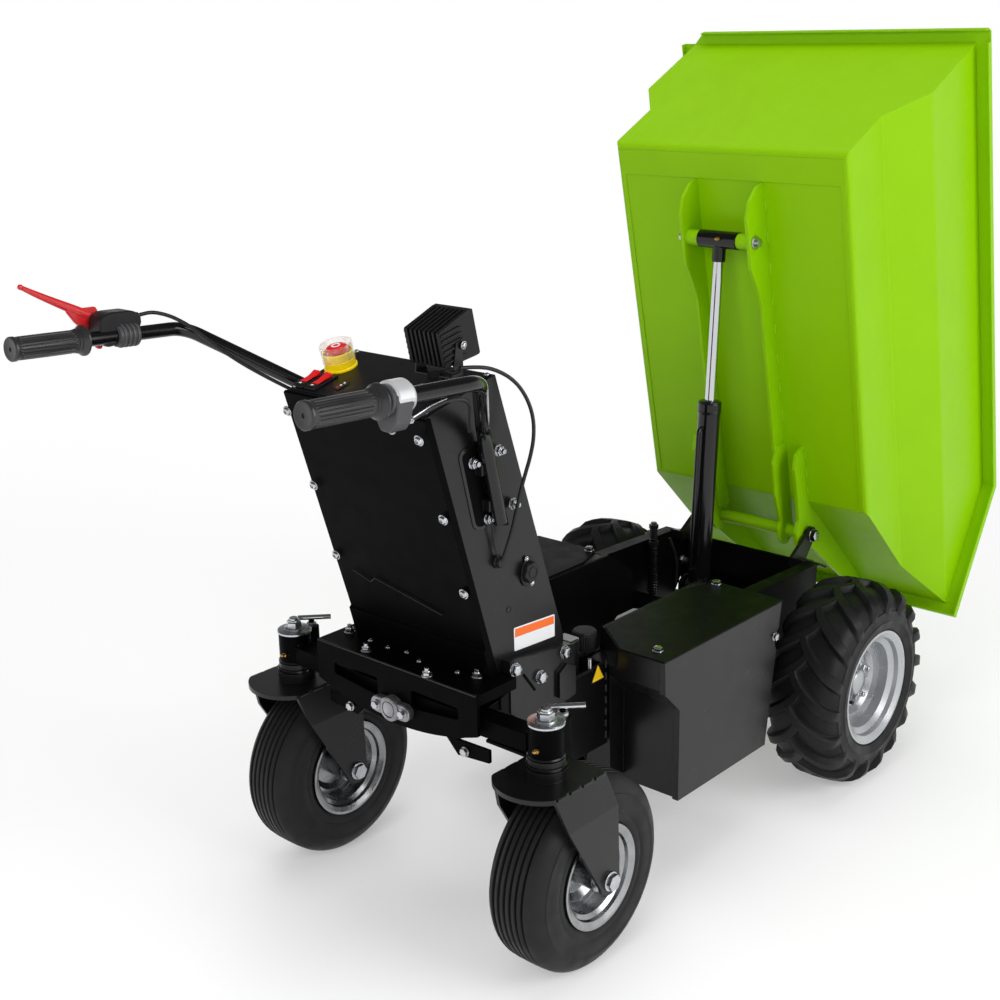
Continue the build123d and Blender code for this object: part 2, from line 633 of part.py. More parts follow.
# ------------------------------------------------------------------ rear deck
DECK_FRONT_X = -432.0       # where the wide part of the deck ends
DECK_WINDOW = ((38, 434), (142, 433), (142, 413), (38, 402))
with BuildPart() as rear_deck:
    with BuildSketch(Plane.XY.offset(DECK_Z - 5)):
        Polygon(
            (DECK_REAR_X, -DECK_Y), (DECK_FRONT_X, -DECK_Y), (DECK_FRONT_X, 1 - RAIL_Y), (-266, 1 - RAIL_Y),
            (-266, RAIL_Y - 1), (DECK_FRONT_X, RAIL_Y - 1), (DECK_FRONT_X, DECK_Y), (DECK_REAR_X, DECK_Y),
            align=None,
        )
    extrude(amount=5)
    # side plates of the deck, above the arms of the axle
    for side in (1, -1):
        with BuildSketch(side_plane(side * DECK_Y)):
            Polygon((DECK_REAR_X, DECK_Z), (DECK_FRONT_X, DECK_Z), (DECK_FRONT_X, 446), (DECK_REAR_X, 446),
                    align=None)
        extrude(amount=side * PLATE)
    # boat-shaped rear plate with its two windows
    with BuildSketch(cross_plane(DECK_REAR_X)):
        with BuildLine():
            Line((-DECK_Y, DECK_Z), (DECK_Y, DECK_Z))
            Line((DECK_Y, DECK_Z), (DECK_Y, 396))
            ThreePointArc((DECK_Y, 396), (0, 364), (-DECK_Y, 396))
            Line((-DECK_Y, 396), (-DECK_Y, DECK_Z))
        make_face()
        for side in (1, -1):
            add(rounded([(side * y, z) for y, z in DECK_WINDOW], 6), mode=Mode.SUBTRACT)
    extrude(amount=PLATE)
    # front plate of the axle cradle, folded down from the deck
    with BuildSketch(cross_plane(DECK_REAR_X + 66)):
        with BuildLine():
            Line((-DECK_Y, DECK_Z - 2), (DECK_Y, DECK_Z - 2))
            Line((DECK_Y, DECK_Z - 2), (DECK_Y, 446))
            ThreePointArc((DECK_Y, 446), (0, 364), (-DECK_Y, 446))
            Line((-DECK_Y, 446), (-DECK_Y, DECK_Z - 2))
        make_face()
    extrude(amount=PLATE)
    with BuildSketch(cross_plane(DECK_REAR_X)):
        with Locations((0, BEAM_Z)):
            Circle(BEAM_PIN_R)
    extrude(amount=80, mode=Mode.SUBTRACT)
write(rear_deck.part, "rear_deck")

with BuildPart() as axle_bearing:
    with BuildSketch(cross_plane(DECK_REAR_X - 9)):
        with Locations((0, BEAM_Z)):
            SlotCenterToCenter(60, 28)
            Circle(21)
    extrude(amount=9)
    with BuildSketch(cross_plane(DECK_REAR_X - 15)):
        with Locations((0, BEAM_Z)):
            Circle(BEAM_PIN_R)
    extrude(amount=86)
write(axle_bearing.part, "axle_bearing")

# ------------------------------------------------------------------ main frame
WALL_Y = 115.0              # outer face of the middle walls
CHEEK_REAR, CHEEK_FRONT = (236, 407), (492, 398)        # top edge of the frame beside a wheel
CHEEK_FLANGE = 22.0
FLOOR_Z = 162.0
BOX_X = 183.0               # half length of the side boxes
FRAME_FRONT_X = 521.0
with BuildPart() as main_frame:
    # floor of the middle bay
    with BuildSketch(Plane.XY.offset(FLOOR_Z)):
        with Locations((40, 0)):
            Rectangle(446, 2 * WALL_Y)
    extrude(amount=PLATE)
    for side in (1, -1):
        # middle bay wall
        with BuildSketch(side_plane(side * WALL_Y)):
            Polygon((-BOX_X, 240), (-160, FLOOR_Z), (250, FLOOR_Z), (263, 230), (263, 380), (BOX_X, 434),
                    (-120, 434), (-126, 396), (-BOX_X, 396), align=None)
        extrude(amount=side * PLATE)
        # rear plate between the console bracket and the side box
        with BuildSketch(side_plane(side * RAIL_Y)):
            Polygon((-280, 250), (-BOX_X, 250), (-BOX_X, 403), (-300, 403), (-318, 460), (-452, 460),
                    (-452, 410), (-430, 362), (-280, 358), align=None)
        extrude(amount=side * PLATE)
        # cheek beside the drive wheel, with a flange along its top
        with BuildSketch(side_plane(side * RAIL_Y)):
            Polygon((BOX_X, 230), (470, 230), (FRAME_FRONT_X, 300), (FRAME_FRONT_X, 384), CHEEK_FRONT,
                    CHEEK_REAR, (BOX_X, 408), align=None)
        extrude(amount=side * PLATE)
        # its folded top edge, out over the tread
        with BuildSketch(side_plane(side * RAIL_Y)):
            Polygon(CHEEK_REAR, CHEEK_FRONT, (FRAME_FRONT_X, 384), (FRAME_FRONT_X - 4, 380),
                    (CHEEK_FRONT[0] - 2, CHEEK_FRONT[1] - 4), (CHEEK_REAR[0], CHEEK_REAR[1] - 4), align=None)
        extrude(amount=-side * CHEEK_FLANGE)
        # cross plates that join walls and rails
        for x in (-BOX_X, BOX_X - PLATE, 257):
            with BuildSketch(cross_plane(x)):
                with Locations((side * (WALL_Y - 6 + RAIL_Y) / 2, 314)):
                    Rectangle(RAIL_Y - WALL_Y + 6, 128)
            extrude(amount=PLATE)
    # rear and front cross plates
    with BuildSketch(cross_plane(-280)):
        with Locations((0, 315)):
            Rectangle(2 * RAIL_Y, 130)
    extrude(amount=PLATE)
    with BuildSketch(cross_plane(FRAME_FRONT_X - PLATE)):
        with Locations((0, 342)):
            Rectangle(2 * RAIL_Y, 84)
    extrude(amount=PLATE)
    # tray behind the middle bay
    with BuildSketch(Plane.XY.offset(250)):
        with Locations((-(280 + BOX_X) / 2, 0)):
            Rectangle(280 - BOX_X, 2 * RAIL_Y)
    extrude(amount=PLATE)
    # holes for the axle tubes
    with BuildSketch(side_plane(RAIL_Y + 5)):
        with Locations((AXLE_X, AXLE_Z)):
            Circle(36)
    extrude(amount=2 * RAIL_Y + 10, mode=Mode.SUBTRACT)
write(main_frame.part, "main_frame")

with BuildPart() as drive_unit:
    with BuildSketch(side_plane(62)):
        with Locations((AXLE_X, AXLE_Z + 8)):
            RectangleRounded(150, 136, 30)
    extrude(amount=124)
    with BuildSketch(side_plane(206)):
        with Locations((AXLE_X, AXLE_Z)):
            Circle(35)
    extrude(amount=412)
    for side in (1, -1):
        with BuildSketch(side_plane(side * 206)):
            with Locations((AXLE_X, AXLE_Z)):
                Circle(STUB_R + 0.05)
        extrude(amount=side * 60, mode=Mode.SUBTRACT)
    # motor ahead of the gearbox
    with BuildSketch(side_plane(55)):
        with Locations((AXLE_X - 90, AXLE_Z + 20)):
            Circle(48)
    extrude(amount=110)
write(drive_unit.part, "drive_unit")

# ------------------------------------------------------------------ side boxes
BOX_Y = 290.0
BOX_OUTLINE = (             # x, z
    (-138, FLOOR_Z), (140, FLOOR_Z), (181, 434), (-BOX_X, 434), (-180, 375), (-138, 333),
)
BOX_NOTCH = (192, 362)      # hollow round the front bolt of the outer panel
NOTCH_R = 30.0
BOX_CORNER = ((-195, 105), (-124, 105), (-124, 119), (-187, 201), (-195, 201))
COVER_OUTLINE = (           # x, |y|
    (-122, 118), (-BOX_X - 2, 200), (-BOX_X - 2, BOX_Y + 1), (182, BOX_Y + 1), (186, 143), (114, 118),
)
FACE_T = 3.0                # outer panel, standing past the body behind it
BODY_OUTLINE = (            # x, z of the body inside the outer panel
    (-132, FLOOR_Z), (140, FLOOR_Z), (181, 434), (-BOX_X + 4, 434), (-174, 377), (-132, 335),
)
for name, side in SIDES:
    with BuildPart() as battery_box:
        with BuildSketch(side_plane(side * BOX_Y)):
            Polygon(*BOX_OUTLINE, align=None)
            with Locations(BOX_NOTCH):
                Circle(NOTCH_R, mode=Mode.SUBTRACT)
        extrude(amount=side * FACE_T)
        with BuildSketch(side_plane(side * (BOX_Y - 12))):
            Polygon(*BOX_OUTLINE, align=None)
            offset(amount=-FACE_T, mode=Mode.SUBTRACT)
            with Locations(BOX_NOTCH):
                Circle(NOTCH_R, mode=Mode.SUBTRACT)
        extrude(amount=-side * 12)
        with BuildSketch(side_plane(side * (BOX_Y - FACE_T))):
            Polygon(*BODY_OUTLINE, align=None)
            with Locations(BOX_NOTCH):
                Circle(NOTCH_R, mode=Mode.SUBTRACT)
        extrude(amount=side * (BOX_Y - FACE_T - RAIL_Y - 1))
        with BuildSketch(side_plane(side * (RAIL_Y + 1))):
            Polygon((-170, FLOOR_Z + 10), (134, FLOOR_Z + 10), (170, 250), (172, 434), (-172, 434),
                    (-172, 260), align=None)
        extrude(amount=side * (RAIL_Y + 1 - WALL_Y))
        # inner rear corner left open for the filler cap
        with BuildSketch(Plane.XY.offset(394)):
            Polygon(*[(x, side * y) for x, y in BOX_CORNER], align=None)
        extrude(amount=44, mode=Mode.SUBTRACT)
    write(battery_box.part, f"battery_box_{name}")

with BuildPart() as box_covers:
    for side in (1, -1):
        with BuildSketch(Plane.XY.offset(434)):
            Polygon(*[(x, side * y) for x, y in COVER_OUTLINE], align=None)
        extrude(amount=3)
        with BuildSketch(Plane.XY.offset(437)):
            with Locations((-153, side * 254), (174, side * 152)):
                RegularPolygon(8, 6)
        extrude(amount=6)
write(box_covers.part, "box_covers")

with BuildPart() as power_unit:
    with BuildSketch(Plane.XY.offset(FLOOR_Z + PLATE)):
        with Locations((-60, 0)):
            Rectangle(190, 150)
    extrude(amount=116)
write(power_unit.part, "power_unit")

CAP_X, CAP_Y, CAP_TOP = -162.0, -104.0, 440.0
with BuildPart() as filler_cap:
    # tank between the console and the middle bay
    with BuildSketch(Plane.XY.offset(256)):
        with Locations((-232, -62)):
            RectangleRounded(74, 120, 8)
    extrude(amount=180)
    # filler neck and cap
    with BuildSketch(Plane.XY.offset(400)):
        with Locations((CAP_X, CAP_Y)):
            Circle(17)
        with Locations((CAP_X - 24, CAP_Y)):
            Rectangle(48, 24)
    extrude(amount=8)
    with BuildSketch(Plane.XY.offset(404)):
        with Locations((CAP_X, CAP_Y)):
            RegularPolygon(21, 20)
    extrude(amount=CAP_TOP - 406)
    with BuildSketch(Plane.XY.offset(CAP_TOP - 2)):
        with Locations((CAP_X, CAP_Y)):
            Circle(19)
    extrude(amount=2)
write(filler_cap.part, "oil_tank")

# ------------------------------------------------------------------ bed hinge and cylinder foot
HINGE_PIN_R = 8.95
TONGUE_Y, TONGUE_T = 139.0, 8.0     # plates that carry the ends of the hinge tube
with BuildPart() as hinge_brackets:
    for side in (1, -1):
        with BuildSketch(side_plane(side * TONGUE_Y)):
            with BuildLine():
                Polyline((FRAME_FRONT_X - 30, 384), (FRAME_FRONT_X, 384), (PIVOT_X + 16, PIVOT_Z - 4))
                ThreePointArc((PIVOT_X + 16, PIVOT_Z - 4), (PIVOT_X + 2, PIVOT_Z + 17),
                              (PIVOT_X - 15, PIVOT_Z + 6))
                Polyline((PIVOT_X - 15, PIVOT_Z + 6), (470, 404), (FRAME_FRONT_X - 30, 384))
            make_face()
        extrude(amount=side * TONGUE_T)
        with BuildSketch(side_plane(side * 161)):
            Polygon((470, 384), (FRAME_FRONT_X - PLATE, 384), (FRAME_FRONT_X - PLATE, 392), (470, 404),
                    align=None)
        extrude(amount=side * (161 - TONGUE_Y + TONGUE_T))
    # pin through the hinge tube
    with BuildSketch(side_plane(TONGUE_Y)):
        with Locations((PIVOT_X, PIVOT_Z)):
            Circle(HINGE_PIN_R)
    extrude(amount=2 * TONGUE_Y)
    for side in (1, -1):
        with BuildSketch(side_plane(side * TONGUE_Y)):
            with Locations((PIVOT_X, PIVOT_Z)):
                Circle(14)
        extrude(amount=-side * 2)
        with BuildSketch(side_plane(side * TONGUE_Y)):
            with Locations((PIVOT_X, PIVOT_Z)):
                RegularPolygon(12, 6)
        extrude(amount=-side * 11)
write(hinge_brackets.part, "hinge_brackets")

with BuildPart() as ram_bracket:
    for side in (1, -1):
        with BuildSketch(side_plane(side * 34)):
            Polygon((RAM_X - 28, 286), (RAM_X + 28, 286), (RAM_X + 22, RAM_Z + 12), (RAM_X + 8, RAM_Z + 22),
                    (RAM_X - 8, RAM_Z + 22), (RAM_X - 22, RAM_Z + 12), align=None)
        extrude(amount=side * 8)
    with BuildSketch(Plane.XY.offset(280)):
        with Locations((RAM_X, 0)):
            Rectangle(60, 2 * RAIL_Y - 14)
    extrude(amount=7)
    with BuildSketch(side_plane(42)):
        with Locations((RAM_X, RAM_Z)):
            Circle(10)
    extrude(amount=84)
write(ram_bracket.part, "ram_bracket")

# ------------------------------------------------------------------ console
CONSOLE_Y = 150.0
CONSOLE_REAR_TOP = (-584, 909)
CONSOLE_FRONT_TOP = (-433, 947)
CONSOLE_FRONT_LOW = (-273, 470)
CONSOLE_REAR_LOW = (-450, DECK_Z)
SLOT_OUTLINE = ((-515, 834), (-495, 846), (-478, 842), (-455, 732), (-469, 717), (-484, 720))
SLOT_DEPTH = 4.0            # hollow behind the slot the handle's clamps pass over
with BuildPart() as console_shell:
    with BuildSketch(side_plane(0)):
        Polygon(CONSOLE_REAR_TOP, CONSOLE_FRONT_TOP, CONSOLE_FRONT_LOW, (-273, DECK_Z), CONSOLE_REAR_LOW,
                align=None)
    extrude(amount=CONSOLE_Y, both=True)
    fillet(console_shell.faces().sort_by(Axis.X)[-1].edges().filter_by(lambda e: abs(e.tangent_at(0.5).Z) > 0.5),
           5)
    for side in (1, -1):
        with BuildSketch(side_plane(side * CONSOLE_Y)):
            add(rounded(SLOT_OUTLINE, 5))
        extrude(amount=side * SLOT_DEPTH, mode=Mode.SUBTRACT)
        with BuildSketch(side_plane(side * CONSOLE_Y)):
            with Locations((-411, 565)):
                Circle(4)
        extrude(amount=side * SLOT_DEPTH, mode=Mode.SUBTRACT)
write(console_shell.part, "console_shell")

COVER_REAR = (              # x, z along the rear cover, from its top down
    (-588, 906), (-470, 517), (-474, 513), (-461, DECK_Z),
)
with BuildPart() as console_cover:
    with BuildSketch(side_plane(0)):
        Polygon(CONSOLE_REAR_TOP, CONSOLE_REAR_LOW, *COVER_REAR[::-1], align=None)
    extrude(amount=CONSOLE_Y + 3, both=True)
    # edges folded forward along the sides
    for side in (1, -1):
        with BuildSketch(side_plane(side * (CONSOLE_Y + 3))):
            Polygon((-588, 906), (-576, 909), (-442, DECK_Z + 1), (-452, DECK_Z + 1), align=None)
        extrude(amount=side * 2.5)
write(console_cover.part, "console_cover")

BRACKET_OUTLINE = (         # x, z of the plates that hold the console's foot
    (-431, 486), (-268, 467), (-268, 440), (-280, 404), (-300, 356), (-380, 356), (-431, 398),
)
with BuildPart() as console_brackets:
    for side in (1, -1):
        with BuildSketch(side_plane(side * 169)):
            Polygon(*BRACKET_OUTLINE, align=None)
        extrude(amount=side * 2)
        with BuildSketch(side_plane(side * 167)):
            Polygon((-430, 486), (-276, 468), (-276, DECK_Z), (-430, DECK_Z), align=None)
        extrude(amount=side * (167 - CONSOLE_Y))
        # rubber block at the front lower corner
        with BuildSketch(side_plane(side * 176)):
            Polygon((-297, 441), (-317, 430), (-317, 386), (-296, 376), (-275, 380), (-275, 430), align=None)
        extrude(amount=side * 8)
        for x, z in ((-422, 472), (-360, 438), (-298, 461)):
            with BuildSketch(side_plane(side * 169)):
                with Locations((x, z)):
                    RegularPolygon(10, 6)
            extrude(amount=-side * 8)
write(console_brackets.part, "console_brackets")

TOP_SLOPE = (CONSOLE_FRONT_TOP[1] - CONSOLE_REAR_TOP[1]) / (CONSOLE_FRONT_TOP[0] - CONSOLE_REAR_TOP[0])


def top_plane(x, y):
    """Plane on the tilted top panel of the console, +x forward."""
    z = CONSOLE_REAR_TOP[1] + (x - CONSOLE_REAR_TOP[0]) * TOP_SLOPE
    a = atan2(TOP_SLOPE, 1)
    return Plane(origin=(x, y, z), x_dir=(cos(a), 0, sin(a)), z_dir=(-sin(a), 0, cos(a)))


def top_point(x, along, out):
    """Point (x, z) on an upright plane, along and out from the tilted panel at x."""
    spot = top_plane(x, 0).from_local_coords((along, 0, out))
    return (spot.X, spot.Z)


with BuildPart() as console_top:
    with BuildSketch(top_plane(-508.5, 0)):
        Rectangle(148, 2 * CONSOLE_Y - 8)
    extrude(amount=2)
write(console_top.part, "console_top")

STOP_X, STOP_Y = -494.0, 121.0
with BuildPart() as stop_base:
    with BuildSketch(top_plane(STOP_X, STOP_Y).offset(2)):
        Circle(27)
    extrude(amount=12)
write(stop_base.part, "stop_base")
with BuildPart() as stop_button:
    with BuildSketch(top_plane(STOP_X, STOP_Y).offset(14)):
        Circle(11)
    extrude(amount=14)
    with BuildSketch(top_plane(STOP_X, STOP_Y).offset(26)):
        Circle(19)
    extrude(amount=11)
write(stop_button.part, "stop_button")
with BuildPart() as stop_guard:
    with BuildSketch(top_plane(STOP_X, STOP_Y).offset(14)):
        Circle(27)
        Circle(24, mode=Mode.SUBTRACT)
    extrude(amount=31)
write(stop_guard.part, "stop_guard")
with BuildPart() as rocker_switches:
    for y in (134, 107):
        with BuildSketch(top_plane(-549, y).offset(2)):
            Rectangle(54, 25)
        extrude(amount=4)
        # paddle, thrown to one side
        with BuildSketch(side_plane(y + 10)):
            Polygon(*[top_point(-549, u, w) for u, w in ((-12, 5), (-12, 8), (1, 8), (20, 14), (20, 5))],
                    align=None)
        extrude(amount=20)
write(rocker_switches.part, "rocker_switches")

with BuildPart() as side_fittings:
    # cable glands and the charging socket cap
    with BuildSketch(side_plane(-CONSOLE_Y)):
        with Locations((-437, 656)):
            Circle(9)
    extrude(amount=12)
    with BuildSketch(side_plane(-CONSOLE_Y)):
        with Locations((-362, 615)):
            SlotCenterToCenter(42, 13, rotation=-70)
            RegularPolygon(19, 10)
    extrude(amount=4)
    with BuildSketch(side_plane(-CONSOLE_Y - 4)):
        with Locations((-366, 617)):
            RegularPolygon(16, 10)
    extrude(amount=10)
write(side_fittings.part, "socket_cap")

# ------------------------------------------------------------------ work lamp
LAMP_Y = -86.0
LAMP_C = (-479.0, 1003.0)
LAMP_TILT = 13.0
LAMP_SIZE = 72.0


def lamp_plane(y):
    """Upright plane through the lamp body, turned with its tilt; +x toward the lens."""
    a = radians(LAMP_TILT)
    return Plane(origin=(LAMP_C[0], y, LAMP_C[1]), x_dir=(cos(a), 0, sin(a)), z_dir=(0, -1, 0))


LAMP_OUTLINE = (            # along, up from the middle of the lamp
    (-38, -30), (28, -36), (38, -36), (38, 36), (28, 36), (-38, 26),
)
LAMP_CORE = ((-31, -23), (27, -29), (27, 29), (-31, 19))
FIN_GAPS = 7
FIN_GAP = 5.0               # air between the cooling fins
with BuildPart() as work_lamp:
    with BuildSketch(lamp_plane(LAMP_Y + LAMP_SIZE / 2)):
        add(rounded(LAMP_OUTLINE, 3))
    extrude(amount=LAMP_SIZE)
    # gaps between the fins, over the top, down the back and under
    for i in range(FIN_GAPS):
        y = LAMP_Y + (i - (FIN_GAPS - 1) / 2) * LAMP_SIZE / (FIN_GAPS + 1)
        with BuildSketch(lamp_plane(y + FIN_GAP / 2)):
            Polygon((-60, -60), (27, -60), (27, 60), (-60, 60), align=None)
            Polygon(*LAMP_CORE, align=None, mode=Mode.SUBTRACT)
        extrude(amount=FIN_GAP, mode=Mode.SUBTRACT)
    # hollow of the lens
    with BuildSketch(lamp_plane(LAMP_Y + LAMP_SIZE / 2 - 6)):
        Polygon((34, -30), (40, -30), (40, 30), (34, 30), align=None)
    extrude(amount=LAMP_SIZE - 12, mode=Mode.SUBTRACT)
write(work_lamp.part, "work_lamp")

with BuildPart() as lamp_bracket:
    for side in (1, -1):
        with BuildSketch(side_plane(LAMP_Y + side * (LAMP_SIZE / 2 + 4))):
            Polygon((-490, 1000), (-476, 1006), (-476, 950), (-498, 950), align=None)
        extrude(amount=side * 3)
    with BuildSketch(side_plane(LAMP_Y + LAMP_SIZE / 2 + 4)):
        Polygon((-498, 950), (-476, 955), (-476, 952), (-498, 947), align=None)
    extrude(amount=LAMP_SIZE + 8)
    with BuildSketch(top_plane(-490, LAMP_Y).offset(2)):
        Circle(12)
    extrude(amount=18)
write(lamp_bracket.part, "lamp_bracket")

# ------------------------------------------------------------------ handles and controls
TUBE_R = 11.0
GRIP_X = -951.0             # free end of the grips
GRIP_Y = 315.0
GRIP_Z = 1013.0
GRIP_SLOPE = -0.05          # the grips fall a little toward the console
CLAMP_Y = 168.0             # middle of the tube where it is clamped to the console


def handle_points(side):
    """Corner points of one handle tube, from the grip's end down the side of the console."""
    return [
        (GRIP_X + 12, side * GRIP_Y, GRIP_Z + 12 * GRIP_SLOPE),
        (-647, side * GRIP_Y, GRIP_Z + (-647 - GRIP_X) * GRIP_SLOPE),
        (-482, side * CLAMP_Y, 876),
        (-447, side * CLAMP_Y, 723),
    ]


def grip_plane(x, side):
    """Plane square to a grip's axis at x."""
    return Plane(
        origin=(x, side * GRIP_Y, GRIP_Z + (x - GRIP_X) * GRIP_SLOPE),
        x_dir=(0, 1, 0),
        z_dir=(1, 0, GRIP_SLOPE),
    )


def tube(points, radii, radius):
    """Round bar of one radius along straight runs joined by arcs."""
    with BuildPart(mode=Mode.PRIVATE) as bar:
        with BuildLine():
            path = FilletPolyline(*points, radius=radii)
        with BuildSketch(Plane(origin=path @ 0, z_dir=path % 0)):
            Circle(radius)
        sweep(path=path)
    return bar.part


with BuildPart() as handles:
    for side in (1, -1):
        with BuildLine():
            handle_path = FilletPolyline(*handle_points(side), radius=[60, 60])
        with BuildSketch(grip_plane(GRIP_X + 12, side)):
            Circle(TUBE_R)
        sweep(path=handle_path)
write(handles.part, "handles")

GRIP_R = 18.0
GRIP_SIDES = 24             # ribs along the rubber
with BuildPart() as grips:
    for side in (1, -1):
        with BuildSketch(grip_plane(GRIP_X, side)):
            RegularPolygon(GRIP_R, GRIP_SIDES)
        extrude(amount=122)
        for x, width in ((GRIP_X, 7), (GRIP_X + 113, 5)):
            with BuildSketch(grip_plane(x, side)):
                RegularPolygon(GRIP_R + 1.5, GRIP_SIDES)
            extrude(amount=width)
        with BuildSketch(grip_plane(GRIP_X + 118, side)):
            RegularPolygon(23.5, GRIP_SIDES)
        extrude(amount=5)
        with BuildSketch(grip_plane(GRIP_X + 12, side)):
            Circle(TUBE_R)
        extrude(amount=120, mode=Mode.SUBTRACT)
write(grips.part, "grips")

with BuildPart() as handle_clamps:
    for side in (1, -1):
        clamp_face = Plane(origin=(0, side * CONSOLE_Y, 0), x_dir=(1, 0, 0), z_dir=(0, side, 0))
        for x, z in ((-466, 812), (-453, 752)):
            with BuildSketch(clamp_face):
                with Locations((x, -side * z)):
                    Rectangle(72, 22)
            extrude(amount=6)
            with BuildSketch(clamp_face):
                with Locations((x, -side * z)):
                    Rectangle(30, 22)
            extrude(amount=30)
            for along in (-27, 27):
                with BuildSketch(clamp_face):
                    with Locations((x + along, -side * z)):
                        RegularPolygon(8, 6)
                extrude(amount=12)
        tube_line = Plane(origin=(-447, side * CLAMP_Y, 723), x_dir=(0, 1, 0), z_dir=(-35, 0, 153))
        with BuildSketch(tube_line):
            Circle(TUBE_R)
        extrude(amount=150, mode=Mode.SUBTRACT)
write(handle_clamps.part, "handle_clamps")

THROTTLE_OUTLINE = (        # across, up from the tube: rounded top and a foot below
    (-20, 8), (-12, 20), (4, 23), (19, 14), (22, -4), (18, -24), (12, -38), (-6, -40), (-17, -28), (-22, -6),
)
with BuildPart() as throttle_housing:
    with BuildSketch(grip_plane(-818, -1)):
        add(rounded(THROTTLE_OUTLINE, 5))
    extrude(amount=34)
    with BuildSketch(grip_plane(-824, -1)):
        Circle(20)
    extrude(amount=46)
    # cable adjuster
    with BuildSketch(grip_plane(-788, -1)):
        with Locations((-1, -30)):
            RegularPolygon(6, 6)
    extrude(amount=16)
    with BuildSketch(grip_plane(-824, -1)):
        Circle(TUBE_R)
    extrude(amount=46, mode=Mode.SUBTRACT)
write(throttle_housing.part, "throttle_housing")

CLAMP_X = -784.0            # brake clamp on the tube
BRAKE_BODY = (              # x, z of the lever's housing
    (-812, 1024), (-790, 1046), (-752, 1044), (-738, 1034), (-738, 1016), (-790, 1008),
)
with BuildPart() as brake_mount:
    with BuildSketch(grip_plane(CLAMP_X, 1)):
        Circle(18)
    extrude(amount=32)
    with BuildSketch(side_plane(GRIP_Y + 28)):
        add(rounded(BRAKE_BODY, 5))
    extrude(amount=34)
    # cable adjuster
    with BuildSketch(grip_plane(-740, 1)):
        with Locations((8, 26)):
            RegularPolygon(6, 6)
    extrude(amount=14)
    with BuildSketch(grip_plane(-830, 1)):
        Circle(TUBE_R)
    extrude(amount=110, mode=Mode.SUBTRACT)
write(brake_mount.part, "brake_mount")

LEVER_BLADE = (             # x, z of the blade, the hub and the hook below
    (-911, 1096), (-904, 1088), (-838, 1052), (-822, 1030), (-806, 1012), (-790, 984), (-778, 980),
    (-776, 990), (-786, 1016), (-780, 1036), (-786, 1046), (-806, 1054), (-830, 1064),
)
with BuildPart() as brake_lever:
    with BuildSketch(side_plane(GRIP_Y + 34)):
        add(rounded(LEVER_BLADE, 2))
    extrude(amount=6)
    with BuildSketch(side_plane(GRIP_Y + 36)):
        with Locations((-797, 1034)):
            RegularPolygon(9, 12)
    extrude(amount=8)
write(brake_lever.part, "brake_lever")

# ------------------------------------------------------------------ cables and hose
def arc_radii(points):
    """Largest arc at each corner that its two runs allow."""
    corners = [Vector(*p) for p in points]
    radii = []
    for before, corner, after in zip(corners, corners[1:], corners[2:]):
        turn = radians((corner - before).get_angle(after - corner))
        radii.append(0.45 * min((corner - before).length, (after - corner).length) / tan(turn / 2))
    return radii


LEADS = (  # node, diameter, route
    ("lamp_lead", 6.0, [
        (-498, -140, 967), (-466, -153, 966), (-433, -162, 953), (-410, -172, 934), (-396, -181, 908),
        (-393, -190, 880), (-398, -195, 850), (-405, -193, 820), (-408, -184, 790), (-409, -175, 760),
        (-413, -170, 730), (-420, -168, 704), (-430, -167, 682), (-436, -165, 666), (-438, -161, 656),
    ]),
    ("brake_cable", 6.0, [
        (-724, 323, 1028), (-700, 321, 1030), (-676, 311, 1022), (-655, 296, 1007), (-636, 276, 984),
        (-618, 256, 962), (-598, 234, 941), (-577, 211, 922), (-556, 190, 905), (-536, 174, 890),
    ]),
    ("throttle_cable", 6.0, [
        (-772, -316, 974), (-742, -317, 981), (-712, -315, 985), (-680, -312, 982),
        (-652, -300, 969), (-628, -278, 951), (-604, -255, 932), (-580, -232, 914), (-556, -210, 896),
    ]),
    ("hydraulic_hose", 16.0, [
        (380, 142, 396), (380, 142, 350), (377, 140, 318), (377, 140, 287),
    ]),
)
for name, diameter, route in LEADS:
    radii = arc_radii(route)
    with BuildPart() as lead:
        with BuildLine():
            lead_path = FilletPolyline(*route, radius=radii)
        with BuildSketch(Plane(origin=lead_path @ 0, z_dir=lead_path % 0)):
            Circle(diameter / 2)
        sweep(path=lead_path)
    section = pi * diameter**2 / 4
    print(f"{name}: length {lead_path.length:.1f}, volume ratio "
          f"{lead.part.volume / (section * lead_path.length):.4f}, radii",
          " ".join(f"{r:.0f}" for r in radii))
    if name == "hydraulic_hose":
        # steel ferrule and its elbow on top of the hose
        with lead:
            for sides, across, low, high in ((6, 11, 396, 404), (16, 8, 404, 432), (6, 10, 432, 441)):
                with BuildSketch(Plane.XY.offset(low)):
                    with Locations(route[0][:2]):
                        RegularPolygon(across, sides)
                extrude(amount=high - low)
    write(lead.part, name)
print("built")
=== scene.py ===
"""Site dumper: finishes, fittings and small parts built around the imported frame.

Sizes are millimetres in the frame's own axes: +X from the operator to the bed, +Y left, +Z up.
A round body is given by its profile, the radius and the height along its axis from end to end.
"""

import logging
from dataclasses import dataclass, field
from enum import Enum
from math import cos, pi, radians, sin
from typing import Callable, Iterable, Iterator, Sequence

import bmesh
import bpy
from mathutils import Euler, Matrix, Vector


